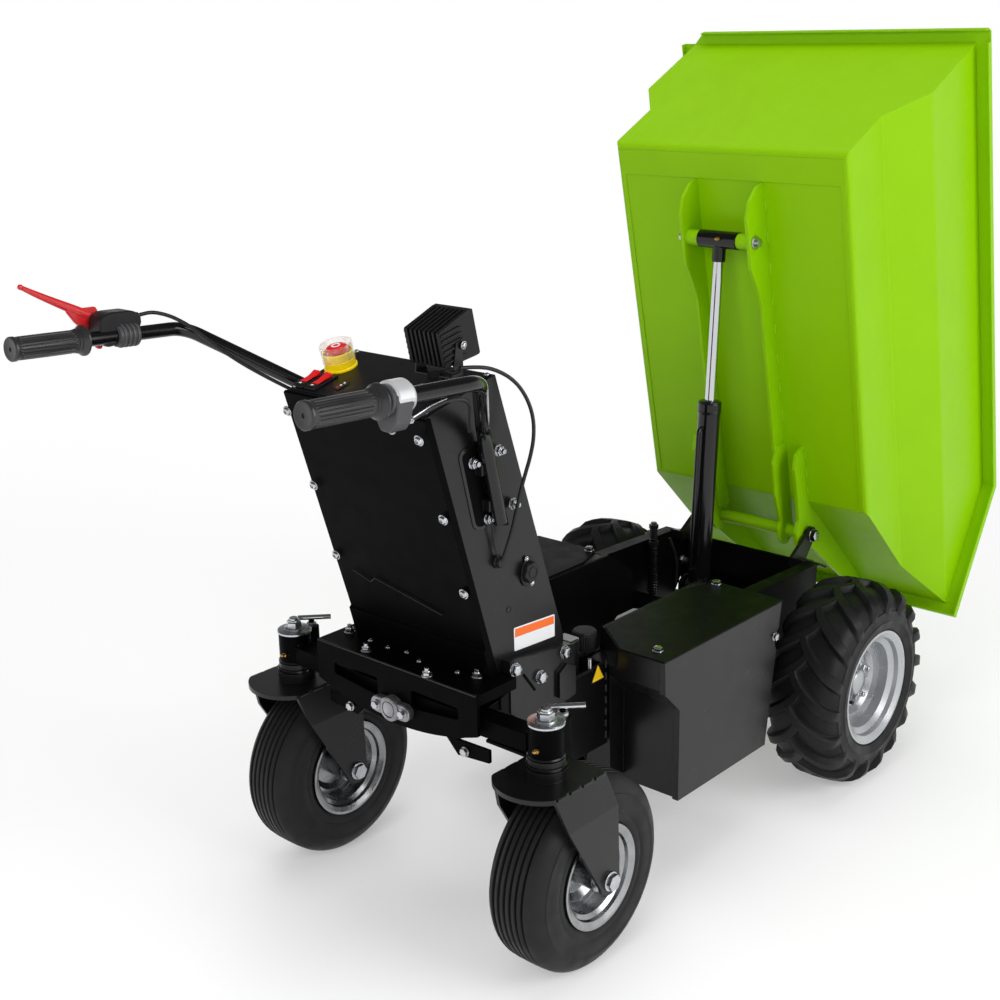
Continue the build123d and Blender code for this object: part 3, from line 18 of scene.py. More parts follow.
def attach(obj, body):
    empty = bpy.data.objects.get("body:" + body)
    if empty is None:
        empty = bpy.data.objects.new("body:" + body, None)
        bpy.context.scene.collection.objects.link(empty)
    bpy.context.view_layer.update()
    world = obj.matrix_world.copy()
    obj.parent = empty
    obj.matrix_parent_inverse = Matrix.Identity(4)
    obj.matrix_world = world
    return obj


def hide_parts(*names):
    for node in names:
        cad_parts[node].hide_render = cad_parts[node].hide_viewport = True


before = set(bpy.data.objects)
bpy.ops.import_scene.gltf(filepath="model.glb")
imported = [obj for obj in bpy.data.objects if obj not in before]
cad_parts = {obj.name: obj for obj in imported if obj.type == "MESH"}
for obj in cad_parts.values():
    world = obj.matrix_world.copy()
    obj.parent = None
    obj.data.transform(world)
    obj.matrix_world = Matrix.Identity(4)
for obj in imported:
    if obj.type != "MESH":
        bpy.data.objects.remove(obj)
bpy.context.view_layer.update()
LOG = logging.getLogger("site_dumper")
MM = 0.001
Pair = tuple[float, float]
Point = tuple[float, float, float]
Outline = Sequence[Pair]
Profile = Sequence[Pair]
Stages = Sequence[tuple[int, Profile]]      # flats round each body on one axis, and its profile


class Side(Enum):
    """The machine's two sides, by the sign of Y."""

    LEFT = 1
    RIGHT = -1

    @property
    def word(self) -> str:
        """The side's word in node and body names."""
        return self.name.lower()

    @property
    def out(self) -> Point:
        """Direction away from the machine's middle."""
        return 0, self.value, 0

    def at(self, x: float, y: float, z: float) -> Point:
        """Point on this side, for one written on the left."""
        return x, self.value * y, z


# ------------------------------------------------------------------ finishes
NOISE_BAND = (0.3, 0.7)     # the values that a noise texture mostly has
MOTTLE_DETAIL = 4.0
SMEAR_DETAIL = 3.0
GRAIN_DETAIL = 2.0
SMEAR_SCALE = 30.0
LEAST_ROUGHNESS = 0.02
BUMP_STRENGTH = 0.5
EDGE_SAMPLES = 6


@dataclass
class Wiring:
    """A shader's node tree while it is wired up."""

    tree: bpy.types.NodeTree

    def node(self, kind: str, values: dict[str, object] | None = None, **settings: object) -> bpy.types.Node:
        """Add a node.

        Args:
            kind: its type, without the word ShaderNode.
            values: constants for its input sockets.
            settings: its own settings, such as a math node's operation.

        Returns:
            The new node.
        """
        node = self.tree.nodes.new("ShaderNode" + kind)
        for name, value in settings.items():
            setattr(node, name, value)
        for name, value in (values or {}).items():
            node.inputs[name].default_value = value
        return node

    def link(self, source: bpy.types.NodeSocket, target: bpy.types.NodeSocket) -> None:
        """Join an output to an input."""
        self.tree.links.new(source, target)

    def noise(self, scale: float, detail: float) -> bpy.types.NodeSocket:
        """Add a noise texture in the object's own coordinates and give its value."""
        texture = self.node("TexNoise", {"Scale": scale, "Detail": detail})
        self.link(self.node("TexCoord").outputs["Object"], texture.inputs["Vector"])
        return texture.outputs["Fac"]

    def math(self, operation: str, first: bpy.types.NodeSocket,
             second: bpy.types.NodeSocket) -> bpy.types.NodeSocket:
        """Join two values by a math node and give its result."""
        node = self.node("Math", operation=operation)
        self.link(first, node.inputs[0])
        self.link(second, node.inputs[1])
        return node.outputs["Value"]

    def seen(self) -> bpy.types.NodeSocket:
        """Tell whether a surface is looked at: straight, in a reflection or through glass."""
        path = self.node("LightPath")
        straight = path.outputs["Is Camera Ray"]
        mirrored = self.math("MAXIMUM", straight, path.outputs["Is Glossy Ray"])
        return self.math("MAXIMUM", mirrored, path.outputs["Is Transmission Ray"])

    def choose(self, share: bpy.types.NodeSocket, first: bpy.types.NodeSocket, second: bpy.types.NodeSocket,
               output: str) -> None:
        """Mix two shaders into the tree's output node."""
        mix = self.node("MixShader")
        for socket, source in zip(mix.inputs, (share, first, second)):
            self.link(source, socket)
        self.link(mix.outputs["Shader"], self.node(output).inputs["Surface"])


def linear(red: int, green: int, blue: int) -> list[float]:
    """Turn a colour written in 0 to 255 display steps into the shader's linear colour.

    Args:
        red, green, blue: the colour as a screen shows it.

    Returns:
        The linear red, green and blue, by the sRGB curve.
    """
    steps = [c / 255 for c in (red, green, blue)]
    return [s / 12.92 if s <= 0.04045 else ((s + 0.055) / 1.055) ** 2.4 for s in steps]


@dataclass(frozen=True)
class Finish:
    """A surface finish: colour with a faint mottle, gloss, and a fine grain in relief."""

    name: str
    colour: tuple[int, int, int]
    roughness: float
    metallic: float = 0.0
    specular: float = 0.5
    coat: float = 0.0
    coat_roughness: float = 0.08
    mottle: float = 0.06
    mottle_scale: float = 9.0
    rough_spread: float = 0.06
    grain: float = 0.02
    grain_scale: float = 900.0
    edge: float = 0.0
    transmission: float = 0.0
    alpha: float = 1.0
    slot: str = ""

    def material(self) -> bpy.types.Material:
        """Build the node material, or return it if it has been built.

        Returns:
            The finish as a Blender material.
        """
        known = bpy.data.materials.get(self.name)
        if known:
            return known
        material = bpy.data.materials.new(self.name)
        material.use_nodes = True
        wiring = Wiring(material.node_tree)
        shader = material.node_tree.nodes["Principled BSDF"]
        for name, value in (
            ("Metallic", self.metallic), ("Specular IOR Level", self.specular), ("Coat Weight", self.coat),
            ("Coat Roughness", self.coat_roughness), ("Transmission Weight", self.transmission),
            ("Alpha", self.alpha),
        ):
            shader.inputs[name].default_value = value

        tint = wiring.node("ValToRGB")
        shares = 1 - self.mottle, 1 + self.mottle
        for step, place, share in zip(tint.color_ramp.elements, NOISE_BAND, shares):
            step.position = place
            step.color = [min(1, c * share) for c in linear(*self.colour)] + [1]
        wiring.link(wiring.noise(self.mottle_scale, MOTTLE_DETAIL), tint.inputs["Fac"])
        wiring.link(tint.outputs["Color"], shader.inputs["Base Color"])

        gloss = wiring.node("MapRange", {
            "From Min": NOISE_BAND[0], "From Max": NOISE_BAND[1],
            "To Min": max(LEAST_ROUGHNESS, self.roughness - self.rough_spread),
            "To Max": min(1.0, self.roughness + self.rough_spread),
        })
        wiring.link(wiring.noise(SMEAR_SCALE, SMEAR_DETAIL), gloss.inputs["Value"])
        wiring.link(gloss.outputs["Result"], shader.inputs["Roughness"])

        bump = wiring.node("Bump", {"Strength": BUMP_STRENGTH, "Distance": self.grain * MM})
        wiring.link(wiring.noise(self.grain_scale, GRAIN_DETAIL), bump.inputs["Height"])
        if self.edge:
            soft = wiring.node("Bevel", {"Radius": self.edge * MM}, samples=EDGE_SAMPLES)
            wiring.link(soft.outputs["Normal"], bump.inputs["Normal"])
        wiring.link(bump.outputs["Normal"], shader.inputs["Normal"])
        return material


GREEN = Finish("green_powder_coat", (132, 186, 1), 0.4, specular=0.13, coat=0.03, coat_roughness=0.25,
               mottle=0.02, grain=0.03, grain_scale=420, edge=1.5, slot="green_paint")
BLACK = Finish("black_powder_coat", (13, 13, 14), 0.3, specular=0.36, mottle=0.12, rough_spread=0.03,
               grain_scale=500, edge=1.2, slot="black_paint")
# painted shade: a darker, less glossy copy of the black powder coat, for the frame, box covers and units
# whose faces lie in shade
BLACK_SHADED = Finish("black_coat_painted_shade", (8, 8, 9), 0.4, specular=0.08, mottle=0.12, grain=0.03,
                    grain_scale=500, edge=1.2, slot="black_paint")
# painted shade: the darkest copy of the black powder coat, for the deck, console cover, axle beam, swivel
# locks and apron that face away from the lamps
BLACK_DEEP_SHADE = Finish("black_coat_painted_deep_shade", (4, 4, 5), 0.42, specular=0.025, mottle=0.12, grain=0.03,
                     grain_scale=500, edge=1.2, slot="black_paint")
BLACK_SMOOTH = Finish("black_gloss_coat", (11, 11, 12), 0.15, specular=0.42, mottle=0.1,
                      rough_spread=0.03, grain=0.01, edge=0.8, slot="black_paint")
SHADOW = Finish("slot_shadow", (4, 4, 4), 0.7, specular=0.05, mottle=0.1)
# painted shade: a near-black, dull copy of the black paint for the handle plates' strips, which lie behind
# the tubes in shade
STRIP_SHADE = Finish("bracket_painted_shade", (6, 6, 7), 0.5, specular=0.12, mottle=0.1, edge=0.8)
SILVER = Finish("silver_rim_paint", (176, 178, 181), 0.3, metallic=0.7, coat=0.2, mottle=0.05,
                grain_scale=1500, edge=1.0, slot="rim_paint")
GALVANISED = Finish("galvanised_rim", (158, 159, 161), 0.26, metallic=1.0, mottle=0.16, mottle_scale=34,
                    rough_spread=0.1, edge=0.8, slot="rim_paint")
ZINC = Finish("zinc_plate", (196, 198, 202), 0.26, metallic=1.0, mottle=0.12, mottle_scale=60,
              rough_spread=0.1, grain=0.01, edge=0.4, slot="zinc")
CAST_ZINC = Finish("cast_zinc", (148, 148, 151), 0.4, metallic=0.9, mottle=0.35, mottle_scale=45,
                   rough_spread=0.14, grain=0.25, grain_scale=240, edge=0.6, slot="zinc")
BRASS = Finish("brass", (196, 158, 84), 0.3, metallic=1.0, mottle=0.1, mottle_scale=60)
CHROME = Finish("hard_chrome", (205, 207, 211), 0.09, metallic=1.0, mottle=0.02, rough_spread=0.03,
                grain=0.002, edge=0.3, slot="chrome")
TYRE = Finish("drive_tyre_black", (21, 21, 22), 0.46, specular=0.2, mottle=0.22, mottle_scale=14,
              rough_spread=0.12, grain=0.08, grain_scale=260, edge=1.5, slot="tyre_rubber")
CASTER_TYRE = Finish("caster_tyre_rubber", (24, 24, 25), 0.5, specular=0.22, mottle=0.15, mottle_scale=20,
                     rough_spread=0.1, grain=0.06, grain_scale=320, edge=0.6, slot="tyre_rubber")
GRIP = Finish("grip_black", (34, 34, 35), 0.36, mottle=0.12, grain=0.05, grain_scale=600,
              slot="grip_rubber")
PLASTIC = Finish("black_moulding", (22, 22, 23), 0.42, specular=0.3, mottle=0.1, grain=0.04,
                 grain_scale=700, edge=0.6, slot="black_plastic")
PANEL = Finish("panel_film", (13, 12, 15), 0.34, specular=0.14, mottle=0.08, grain=0.01, edge=0.5)
CAP_GREY = Finish("grey_moulding", (122, 122, 123), 0.5, specular=0.3, mottle=0.08, grain=0.04, edge=0.6)
GREY_CAST = Finish("grey_casting", (62, 62, 64), 0.45, specular=0.4, mottle=0.1, grain=0.05, edge=0.6)
SILVER_CAST = Finish("silver_casting", (206, 207, 208), 0.36, metallic=0.5, grain=0.04, edge=0.6)
ANODISED = Finish("black_anodised", (18, 18, 19), 0.42, metallic=0.2, specular=0.3, mottle=0.1, grain=0.04,
                  edge=0.5, slot="lamp_body")
RED_COAT = Finish("red_powder_coat", (190, 22, 27), 0.3, coat=0.4, mottle=0.05, edge=0.5, slot="red_coat")
RED = Finish("red_moulding", (196, 16, 20), 0.22, coat=0.5, mottle=0.05, grain=0.01, slot="red_plastic")
RED_GLOSS = Finish("red_lens", (214, 12, 14), 0.12, coat=0.8, mottle=0.05, grain=0.005, slot="red_plastic")
YELLOW = Finish("yellow_moulding", (246, 214, 6), 0.3, coat=0.3, mottle=0.03, slot="yellow_plastic")
CLEAR = Finish("clear_guard", (244, 240, 232), 0.08, mottle=0.02, transmission=0.85, alpha=0.36,
               slot="clear_plastic")
LENS = Finish("lamp_lens", (225, 228, 232), 0.08, transmission=0.8, mottle=0.02)
SHEATH = Finish("cable_sheath", (20, 20, 21), 0.45, specular=0.35, mottle=0.1, grain=0.03,
                slot="lead_sheath")
LABEL_WHITE = Finish("label_white", (224, 224, 226), 0.35, mottle=0.01)
LABEL_ORANGE = Finish("label_orange", (232, 104, 28), 0.35, mottle=0.02)
SIGN_YELLOW = Finish("sign_yellow", (238, 196, 20), 0.35, mottle=0.02)
SIGN_BLACK = Finish("sign_black", (14, 14, 14), 0.35, mottle=0.05)

NODE_FINISH: dict[Finish, tuple[str, ...]] = {
    GREEN: ("bed_tub", "bed_frame", "eye_spacers"),
    BLACK: ("battery_box_left", "battery_box_right", "hinge_brackets", "console_shell",
            "console_brackets", "lamp_bracket", "handle_clamps", "fork_left", "fork_right"),
    # painted shade: the next two rows give darker copies of the black coat to nodes by how little light
    # reaches their faces
    BLACK_SHADED: ("main_frame", "box_covers", "power_unit", "drive_unit", "ram_bracket"),
    BLACK_DEEP_SHADE: ("rear_deck", "console_cover", "axle_beam", "swivel_locks"),
    BLACK_SMOOTH: ("handles", "ram_barrel", "rod_eye"),
    SILVER: ("drive_rim_left", "drive_rim_right"),
    GALVANISED: ("caster_rim_left", "caster_rim_right"),
    CAST_ZINC: ("axle_bearing",),
    ZINC: ("eye_pin_heads", "kingpin_cap_left", "kingpin_cap_right", "caster_axle_left",
           "caster_axle_right"),
    CHROME: ("lock_handles", "ram_rod"),
    TYRE: ("drive_tyre_left", "drive_tyre_right"),
    CASTER_TYRE: ("caster_tyre_left", "caster_tyre_right"),
    GRIP: ("grips",),
    PLASTIC: ("socket_cap", "throttle_housing", "brake_mount", "oil_tank"),
    PANEL: ("console_top",),
    YELLOW: ("stop_base",),
    RED: ("stop_button", "rocker_switches"),
    CLEAR: ("stop_guard",),
    RED_COAT: ("brake_lever",),
    ANODISED: ("work_lamp",),
    SHEATH: ("lamp_lead", "brake_cable", "throttle_cable", "hydraulic_hose"),
}


def dress_frame() -> None:
    """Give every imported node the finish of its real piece."""
    for finish, names in NODE_FINISH.items():
        for name in names:
            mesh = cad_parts[name].data
            mesh.materials.clear()
            mesh.materials.append(finish.material())


# ------------------------------------------------------------------ building pieces
TINY = 1e-6                 # shorter than this, a direction is none
LEAST_LEAN = 0.4            # keeps the inset of a sharp corner from running away
EDGE_SHARE = 0.45           # of an edge, at most, goes to the rounding at one of its ends
CORNER_STEPS = 4
WELD_PITCH = 4.0
WELD_SIDES = 8
WELD_RIPPLE = 0.22
WELD_LEAST = 3              # rings of the shortest bead


def placing(origin: Point, along: Point, across: Point = (1.0, 0.0, 0.0)) -> Matrix:
    """Make a placing with its own Z along one direction and its X leaning toward another.

    Args:
        origin: where the placing's zero is.
        along: the direction of its Z.
        across: the direction its X leans to.

    Returns:
        The placing as a 4 x 4 matrix, in millimetres.
    """
    z = Vector(along).normalized()
    x = Vector(across) - z * z.dot(Vector(across))
    x = z.orthogonal().normalized() if x.length < TINY else x.normalized()
    turn = Matrix((x, z.cross(x), z)).transposed().to_4x4()
    turn.translation = Vector(origin)
    return turn


def upright(x: float, y: float, z: float) -> Matrix:
    """Placing at a point, with its axes along the machine's own."""
    return placing((x, y, z), (0, 0, 1))


def side_plane(y: float) -> Matrix:
    """Upright plane along the machine at y: x forward, y up, Z toward the right-hand side."""
    return placing((0, y, 0), (0, -1, 0))


def cross_plane(x: float) -> Matrix:
    """Upright plane across the machine at x: x to the left, y up, Z forward."""
    return placing((x, 0, 0), (1, 0, 0), (0, 1, 0))


def around(steps: int) -> list[Pair]:
    """Cosine and sine of equal steps round a circle."""
    return [(cos(2 * pi * i / steps), sin(2 * pi * i / steps)) for i in range(steps)]


def block(left: float, low: float, right: float, high: float) -> list[Pair]:
    """Corners of a rectangle."""
    return [(left, low), (right, low), (right, high), (left, high)]


def corners(outline: Outline) -> Iterator[tuple[Vector, Vector, Vector]]:
    """Go round a closed outline and give each corner between the one before it and the one after."""
    points = [Vector(p) for p in outline]
    return zip(points[-1:] + points[:-1], points, points[1:] + points[:1])


def inset(outline: Outline, distance: float) -> list[Pair]:
    """Move every edge of a closed outline inward.

    Args:
        outline: the corners in order.
        distance: how far each edge moves, in millimetres.

    Returns:
        The corners of the smaller outline.
    """
    sign = 1 if sum(a.x * b.y - b.x * a.y for _, a, b in corners(outline)) > 0 else -1
    moved = []
    for before, here, after in corners(outline):
        first, second = (here - before).normalized(), (after - here).normalized()
        normal = Vector((-first.y - second.y, first.x + second.x)) * sign
        normal.normalize()
        lean = max(LEAST_LEAN, normal.dot(Vector((-first.y, first.x)) * sign))
        moved.append(tuple(here + normal * distance / lean))
    return moved


def rounded(outline: Outline, radius: float) -> list[Pair]:
    """Round the corners of a closed outline with short quadratic curves.

    Args:
        outline: the corners in order.
        radius: how far along each edge the rounding starts.

    Returns:
        The corners of the rounded outline.
    """
    curve = []
    for before, here, after in corners(outline):
        back, ahead = (here + (end - here).normalized() * min(radius, (end - here).length * EDGE_SHARE)
                       for end in (before, after))
        for i in range(CORNER_STEPS + 1):
            t = i / CORNER_STEPS
            curve.append(tuple(back * (1 - t) ** 2 + here * 2 * t * (1 - t) + ahead * t * t))
    return curve


def spline(route: Sequence[Point], steps: int = 6) -> list[Vector]:
    """Follow a smooth curve through every point of a route.

    Args:
        route: the points the curve passes, in order.
        steps: short runs between two of them.

    Returns:
        Points along the curve.
    """
    points = [Vector(p) for p in route]
    points = [points[0] * 2 - points[1], *points, points[-1] * 2 - points[-2]]
    line = []
    for p0, p1, p2, p3 in zip(points, points[1:], points[2:], points[3:]):
        for i in range(steps):
            t = i / steps
            line.append((p1 * 2 + (p2 - p0) * t + (p0 * 2 - p1 * 5 + p2 * 4 - p3) * t * t
                         + (p1 * 3 - p0 - p2 * 3 + p3) * t ** 3) / 2)
    return line + [points[-2]]


WASHER = (20, ((1.02, 0), (1.05, 0.06), (1.05, 0.14), (1.0, 0.2)))
HEXAGON = (6, ((0.9, 0.2), (0.92, 0.26), (0.92, 0.76), (0.8, 0.86)))


class BoltHead(Enum):
    """Kinds of fastener, each by the stages of its head in thread diameters."""

    HEX = (WASHER, HEXAGON, (16, ((0.7, 0.86), (0.62, 0.9), (0.3, 0.9))))
    DOME = (WASHER, (20, ((0.82, 0.2), (0.8, 0.4), (0.6, 0.62), (0.36, 0.7), (0.34, 0.45))))
    NUT = (WASHER, HEXAGON, (16, ((0.62, 0.86), (0.56, 1.05), (0.48, 1.08), (0.48, 1.5), (0.4, 1.58))))


@dataclass
class Piece:
    """One piece being built: points in millimetres, faces, and the finish of every face."""

    name: str
    points: list[Vector] = field(default_factory=list)
    faces: list[tuple[int, ...]] = field(default_factory=list)
    skins: list[Finish] = field(default_factory=list)

    def rows(self, rings: Sequence[Sequence[Vector]], finish: Finish, caps: bool = True) -> None:
        """Skin a stack of closed rings that have equal numbers of points.

        Args:
            rings: the rings in order.
            finish: the finish of the skin.
            caps: whether the first and last rings are filled.
        """
        base, count = len(self.points), len(rings[0])
        for ring in rings:
            self.points.extend(ring)
        made = [
            (a + j, a + (j + 1) % count, a + count + (j + 1) % count, a + count + j)
            for a in range(base, base + count * (len(rings) - 1), count)
            for j in range(count)
        ]
        if caps:
            made.append(tuple(base + j for j in reversed(range(count))))
            made.append(tuple(base + count * (len(rings) - 1) + j for j in range(count)))
        self.faces.extend(made)
        self.skins.extend([finish] * len(made))

    def prism(self, outline: Outline, place: Matrix, low: float, high: float, finish: Finish,
              soft: float = 0.0) -> None:
        """Add a flat plate or block.

        Args:
            outline: its corners on the placing's own plane.
            place: where the plane is.
            low, high: its two faces along the placing's Z.
            finish: its finish.
            soft: width of the bevel round both faces.
        """
        step = soft if high > low else -soft
        levels = [(outline, low), (outline, high)]
        if soft:
            small = inset(outline, soft)
            levels = [(small, low), (outline, low + step), (outline, high - step), (small, high)]
        self.rows([[place @ Vector((u, v, w)) for u, v in ring] for ring, w in levels], finish)

    def turned(self, profile: Profile, place: Matrix, finish: Finish, steps: int = 32,
               caps: bool = True) -> None:
        """Add a round body.

        Args:
            profile: radius and height along the placing's Z, in order.
            place: where its axis is.
            finish: its finish.
            steps: flats round the axis; 6 makes a nut.
            caps: whether the ends are filled.
        """
        turns = around(steps)
        self.rows([[place @ Vector((r * c, r * s, w)) for c, s in turns] for r, w in profile], finish, caps)

    def stack(self, stages: Stages, place: Matrix, finish: Finish, scale: float = 1.0) -> None:
        """Add round bodies on one axis.

        Args:
            stages: the flats round each body, and its profile.
            place: where the axis is.
            finish: the finish of them all.
            scale: what the radii and heights are multiplied by.
        """
        for steps, profile in stages:
            self.turned([(r * scale, h * scale) for r, h in profile], place, finish, steps)

    def ring(self, profile: Profile, place: Matrix, finish: Finish, steps: int) -> None:
        """Add a body turned from a closed profile, such as a tyre or a guard."""
        self.turned([*profile, profile[0]], place, finish, steps, caps=False)

    def pipe(self, line: Iterable[Point | Vector], radius: float, finish: Finish, sides: int = 12,
             ripple: float = 0.0) -> None:
        """Add a round bar along a line.

        Args:
            line: points along its middle.
            radius: half its thickness.
            finish: its finish.
            sides: flats round it.
            ripple: share by which every other ring is thinner, as on a weld bead.
        """
        line = [Vector(p) for p in line]
        ways = [(b - a).normalized() for a, b in zip(line, line[1:])]
        ways = [ways[0], *[(a + b).normalized() for a, b in zip(ways, ways[1:])], ways[-1]]
        across = ways[0].orthogonal().normalized()
        rings = []
        for i, (point, way) in enumerate(zip(line, ways)):
            across = (across - way * across.dot(way)).normalized()
            other = way.cross(across)
            thick = radius * (1 - ripple * (i % 2))
            rings.append([point + (across * c + other * s) * thick for c, s in around(sides)])
        self.rows(rings, finish)

    def weld(self, start: Point, end: Point, size: float, finish: Finish) -> None:
        """Lay a rippled weld bead between two points."""
        a, b = Vector(start), Vector(end)
        count = max(WELD_LEAST, round((b - a).length / WELD_PITCH * 2))
        self.pipe([a.lerp(b, i / count) for i in range(count + 1)], size, finish, WELD_SIDES, WELD_RIPPLE)

    def stitches(self, starts: Iterable[float], length: float, at: Callable[[float], Point], size: float,
                 finish: Finish) -> None:
        """Lay a row of short weld beads.

        Args:
            starts: where each bead starts along the row.
            length: how long each bead is.
            at: gives the point at a distance along the row.
            size: half a bead's thickness.
            finish: their finish.
        """
        for start in starts:
            self.weld(at(start), at(start + length), size, finish)

    def bolt(self, at: Point, along: Point, thread: float, kind: BoltHead = BoltHead.HEX) -> None:
        """Add a zinc fastener.

        Args:
            at: where it meets the surface.
            along: the direction it stands out.
            thread: its thread diameter.
            kind: the kind of head.
        """
        self.stack(kind.value, placing(at, along), ZINC, thread)

    def build(self, body: str, replaces: Sequence[str] = (), smooth: float = 38.0) -> None:
        """Turn the collected faces into an object that rides on a body.

        Args:
            body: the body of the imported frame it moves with.
            replaces: the nodes it stands for.
            smooth: edges sharper than this many degrees stay crisp.
        """
        mesh = bpy.data.meshes.new(self.name)
        mesh.from_pydata([p * MM for p in self.points], [], self.faces)
        order = list(dict.fromkeys(self.skins))
        for finish in order:
            mesh.materials.append(finish.material())
        mesh.polygons.foreach_set("material_index", [order.index(skin) for skin in self.skins])
        work = bmesh.new()
        work.from_mesh(mesh)
        bmesh.ops.remove_doubles(work, verts=work.verts, dist=TINY)
        bmesh.ops.recalc_face_normals(work, faces=work.faces)
        work.to_mesh(mesh)
        work.free()
        mesh.shade_smooth()
        mesh.set_sharp_from_angle(angle=radians(smooth))
        made = bpy.data.objects.new(self.name, mesh)
        bpy.context.scene.collection.objects.link(made)
        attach(made, body)
        if replaces:
            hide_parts(*replaces)
        LOG.info("%s on %s: %d faces", self.name, body, len(mesh.polygons))


# ------------------------------------------------------------------ wheels
@dataclass
class DriveWheel:
    """Lugged drive tyre, and the fittings of its pressed rim."""

    side: Side
    hub: Point = (420.0, 295.0, 201.0)
    radius: float = 201.0
    half_width: float = 78.0
    carcass: Outline = (        # y and radius, from the crown over the shoulder to the bead
        (0, 188.5), (28, 188), (46, 185.5), (57, 180), (66, 170), (71, 158), (72.5, 154), (74.2, 153.2),
        (74.8, 150.5), (74.4, 149), (76.2, 142), (76.8, 137), (77.9, 135.6), (77.9, 133), (76.9, 131.5),
        (76, 124), (73.4, 119), (73.2, 117.5), (70, 115), (64, 110.5), (63, 104.2),
    )
    lugs: int = 18              # in each of the two rows
    lug_height: float = 12.5
    lug_path: Outline = (       # forward, outward along the section: from the crown over the shoulder
        (41, -9), (33, -6), (24, 0), (13, 10), (2, 22), (-9, 36), (-19, 49), (-28, 62), (-35, 74),
        (-39, 84), (-42, 95),
    )
    path_radius: float = 195.0          # where the path's forward distances are true
    lug_half_width: Pair = (7.0, 11.5)  # at the crown, at the shoulder
    lug_flank: Outline = ((3.5, -0.12), (0.0, 0.82), (-1.8, 1.0))   # past the half width, share of height
    lug_end: float = 97.0               # along the section, where a lug has faded out
    lug_fade: float = 26.0
    lug_least: float = 0.06
    lug_reach: float = 112.0
    bolts: int = 5
    bolt_circle: float = 44.0
    bolt_face: float = 16.0
    hub_cap: Profile = ((24, 30), (24, 33), (20, 36), (8, 37))
    valve_at: Point = (0, 92, 46)
    valve: Profile = ((4, -6), (4, 8), (3, 9), (3, 18), (3.6, 19), (3.6, 26))

    def __post_init__(self) -> None:
        """Measure the carcass section once."""
        points = [Vector(p) for p in self.carcass]
        self.lengths = [0.0]
        for a, b in zip(points, points[1:]):
            self.lengths.append(self.lengths[-1] + (b - a).length)
        self.place = placing(self.side.at(*self.hub), self.side.out, (0, 0, 1))

    def section(self, out: float, height: float) -> Pair:
        """Find the point (y, r) at a distance along the section and a height above the carcass."""
        sign, out = (-1, -out) if out < 0 else (1, out)
        i = max(j for j, length in enumerate(self.lengths[:-1]) if length <= out)
        a, b = Vector(self.carcass[i]), Vector(self.carcass[i + 1])
        here = a.lerp(b, (out - self.lengths[i]) / (self.lengths[i + 1] - self.lengths[i]))
        way = (b - a).normalized()
        here = here + Vector((-way.y, way.x)) * height
        return sign * min(self.half_width, here.x), min(self.radius, here.y)

    def spot(self, angle: float, y: float, r: float) -> Vector:
        """Point on the wheel at an angle from the top toward the front, in the frame's axes."""
        return Vector((self.hub[0] + r * sin(angle), self.side.value * self.hub[1] + y,
                       self.hub[2] + r * cos(angle)))

    def height(self, out: float) -> float:
        """Height of a lug, which fades out down the sidewall."""
        return self.lug_height * min(1.0, max(self.lug_least, (self.lug_end - out) / self.lug_fade))

    def lug(self, tyre: Piece, start: float, row: int) -> None:
        """Add one lug of the tread.

        Args:
            tyre: the piece it belongs to.
            start: its angle round the wheel.
            row: 1 or -1, the half of the tread that it lies on.
        """
        path = [Vector(p) for p in self.lug_path]
        narrow, wide = self.lug_half_width
        rings = []
        for i, here in enumerate(path):
            way = (path[min(i + 1, len(path) - 1)] - path[max(i - 1, 0)]).normalized()
            across = Vector((-way.y, way.x))
            half = narrow + (wide - narrow) * i / (len(path) - 1)
            tall = self.height(here.y)
            ring = []
            for lean, share in ([(-half - past, share) for past, share in self.lug_flank]
                                + [(half + past, share) for past, share in reversed(self.lug_flank)]):
                spot = here + across * lean
                y, r = self.section(min(spot.y, self.lug_reach), tall * share)
                ring.append(self.spot(start + spot.x / self.path_radius, -row * y, r))
            rings.append(ring)
        tyre.rows(rings, TYRE)

    def tyre(self) -> None:
        """Build the carcass with both rows of lugs, one row half a pitch behind the other."""
        tyre = Piece(f"drive_tread_{self.side.word}")
        profile = [(r, -y) for y, r in reversed(self.carcass)] + [(r, y) for y, r in self.carcass[1:]]
        tyre.ring(profile, self.place, TYRE, steps=108)
        for i in range(self.lugs):
            for row, lag in ((1, 0), (-1, 0.5)):
                self.lug(tyre, 2 * pi / self.lugs * (i + lag), row)
        tyre.build(f"drive_wheel_{self.side.word}", [f"drive_tyre_{self.side.word}"], smooth=30)

    def fittings(self) -> None:
        """Build the wheel bolts, hub cap and tyre valve."""
        piece = Piece(f"drive_hub_fittings_{self.side.word}")
        for c, s in around(self.bolts):
            at = self.place @ Vector((self.bolt_circle * c, self.bolt_circle * s, self.bolt_face))
            piece.bolt(at, self.side.out, thread=11, kind=BoltHead.NUT)
        piece.turned(self.hub_cap, self.place, SILVER, steps=28)
        valve_place = placing(self.place @ Vector(self.valve_at), self.side.out)
        piece.turned(self.valve, valve_place, PLASTIC, steps=12)
        piece.build(f"drive_wheel_{self.side.word}")

    def build(self) -> None:
        """Build the whole wheel."""
        self.tyre()
        self.fittings()


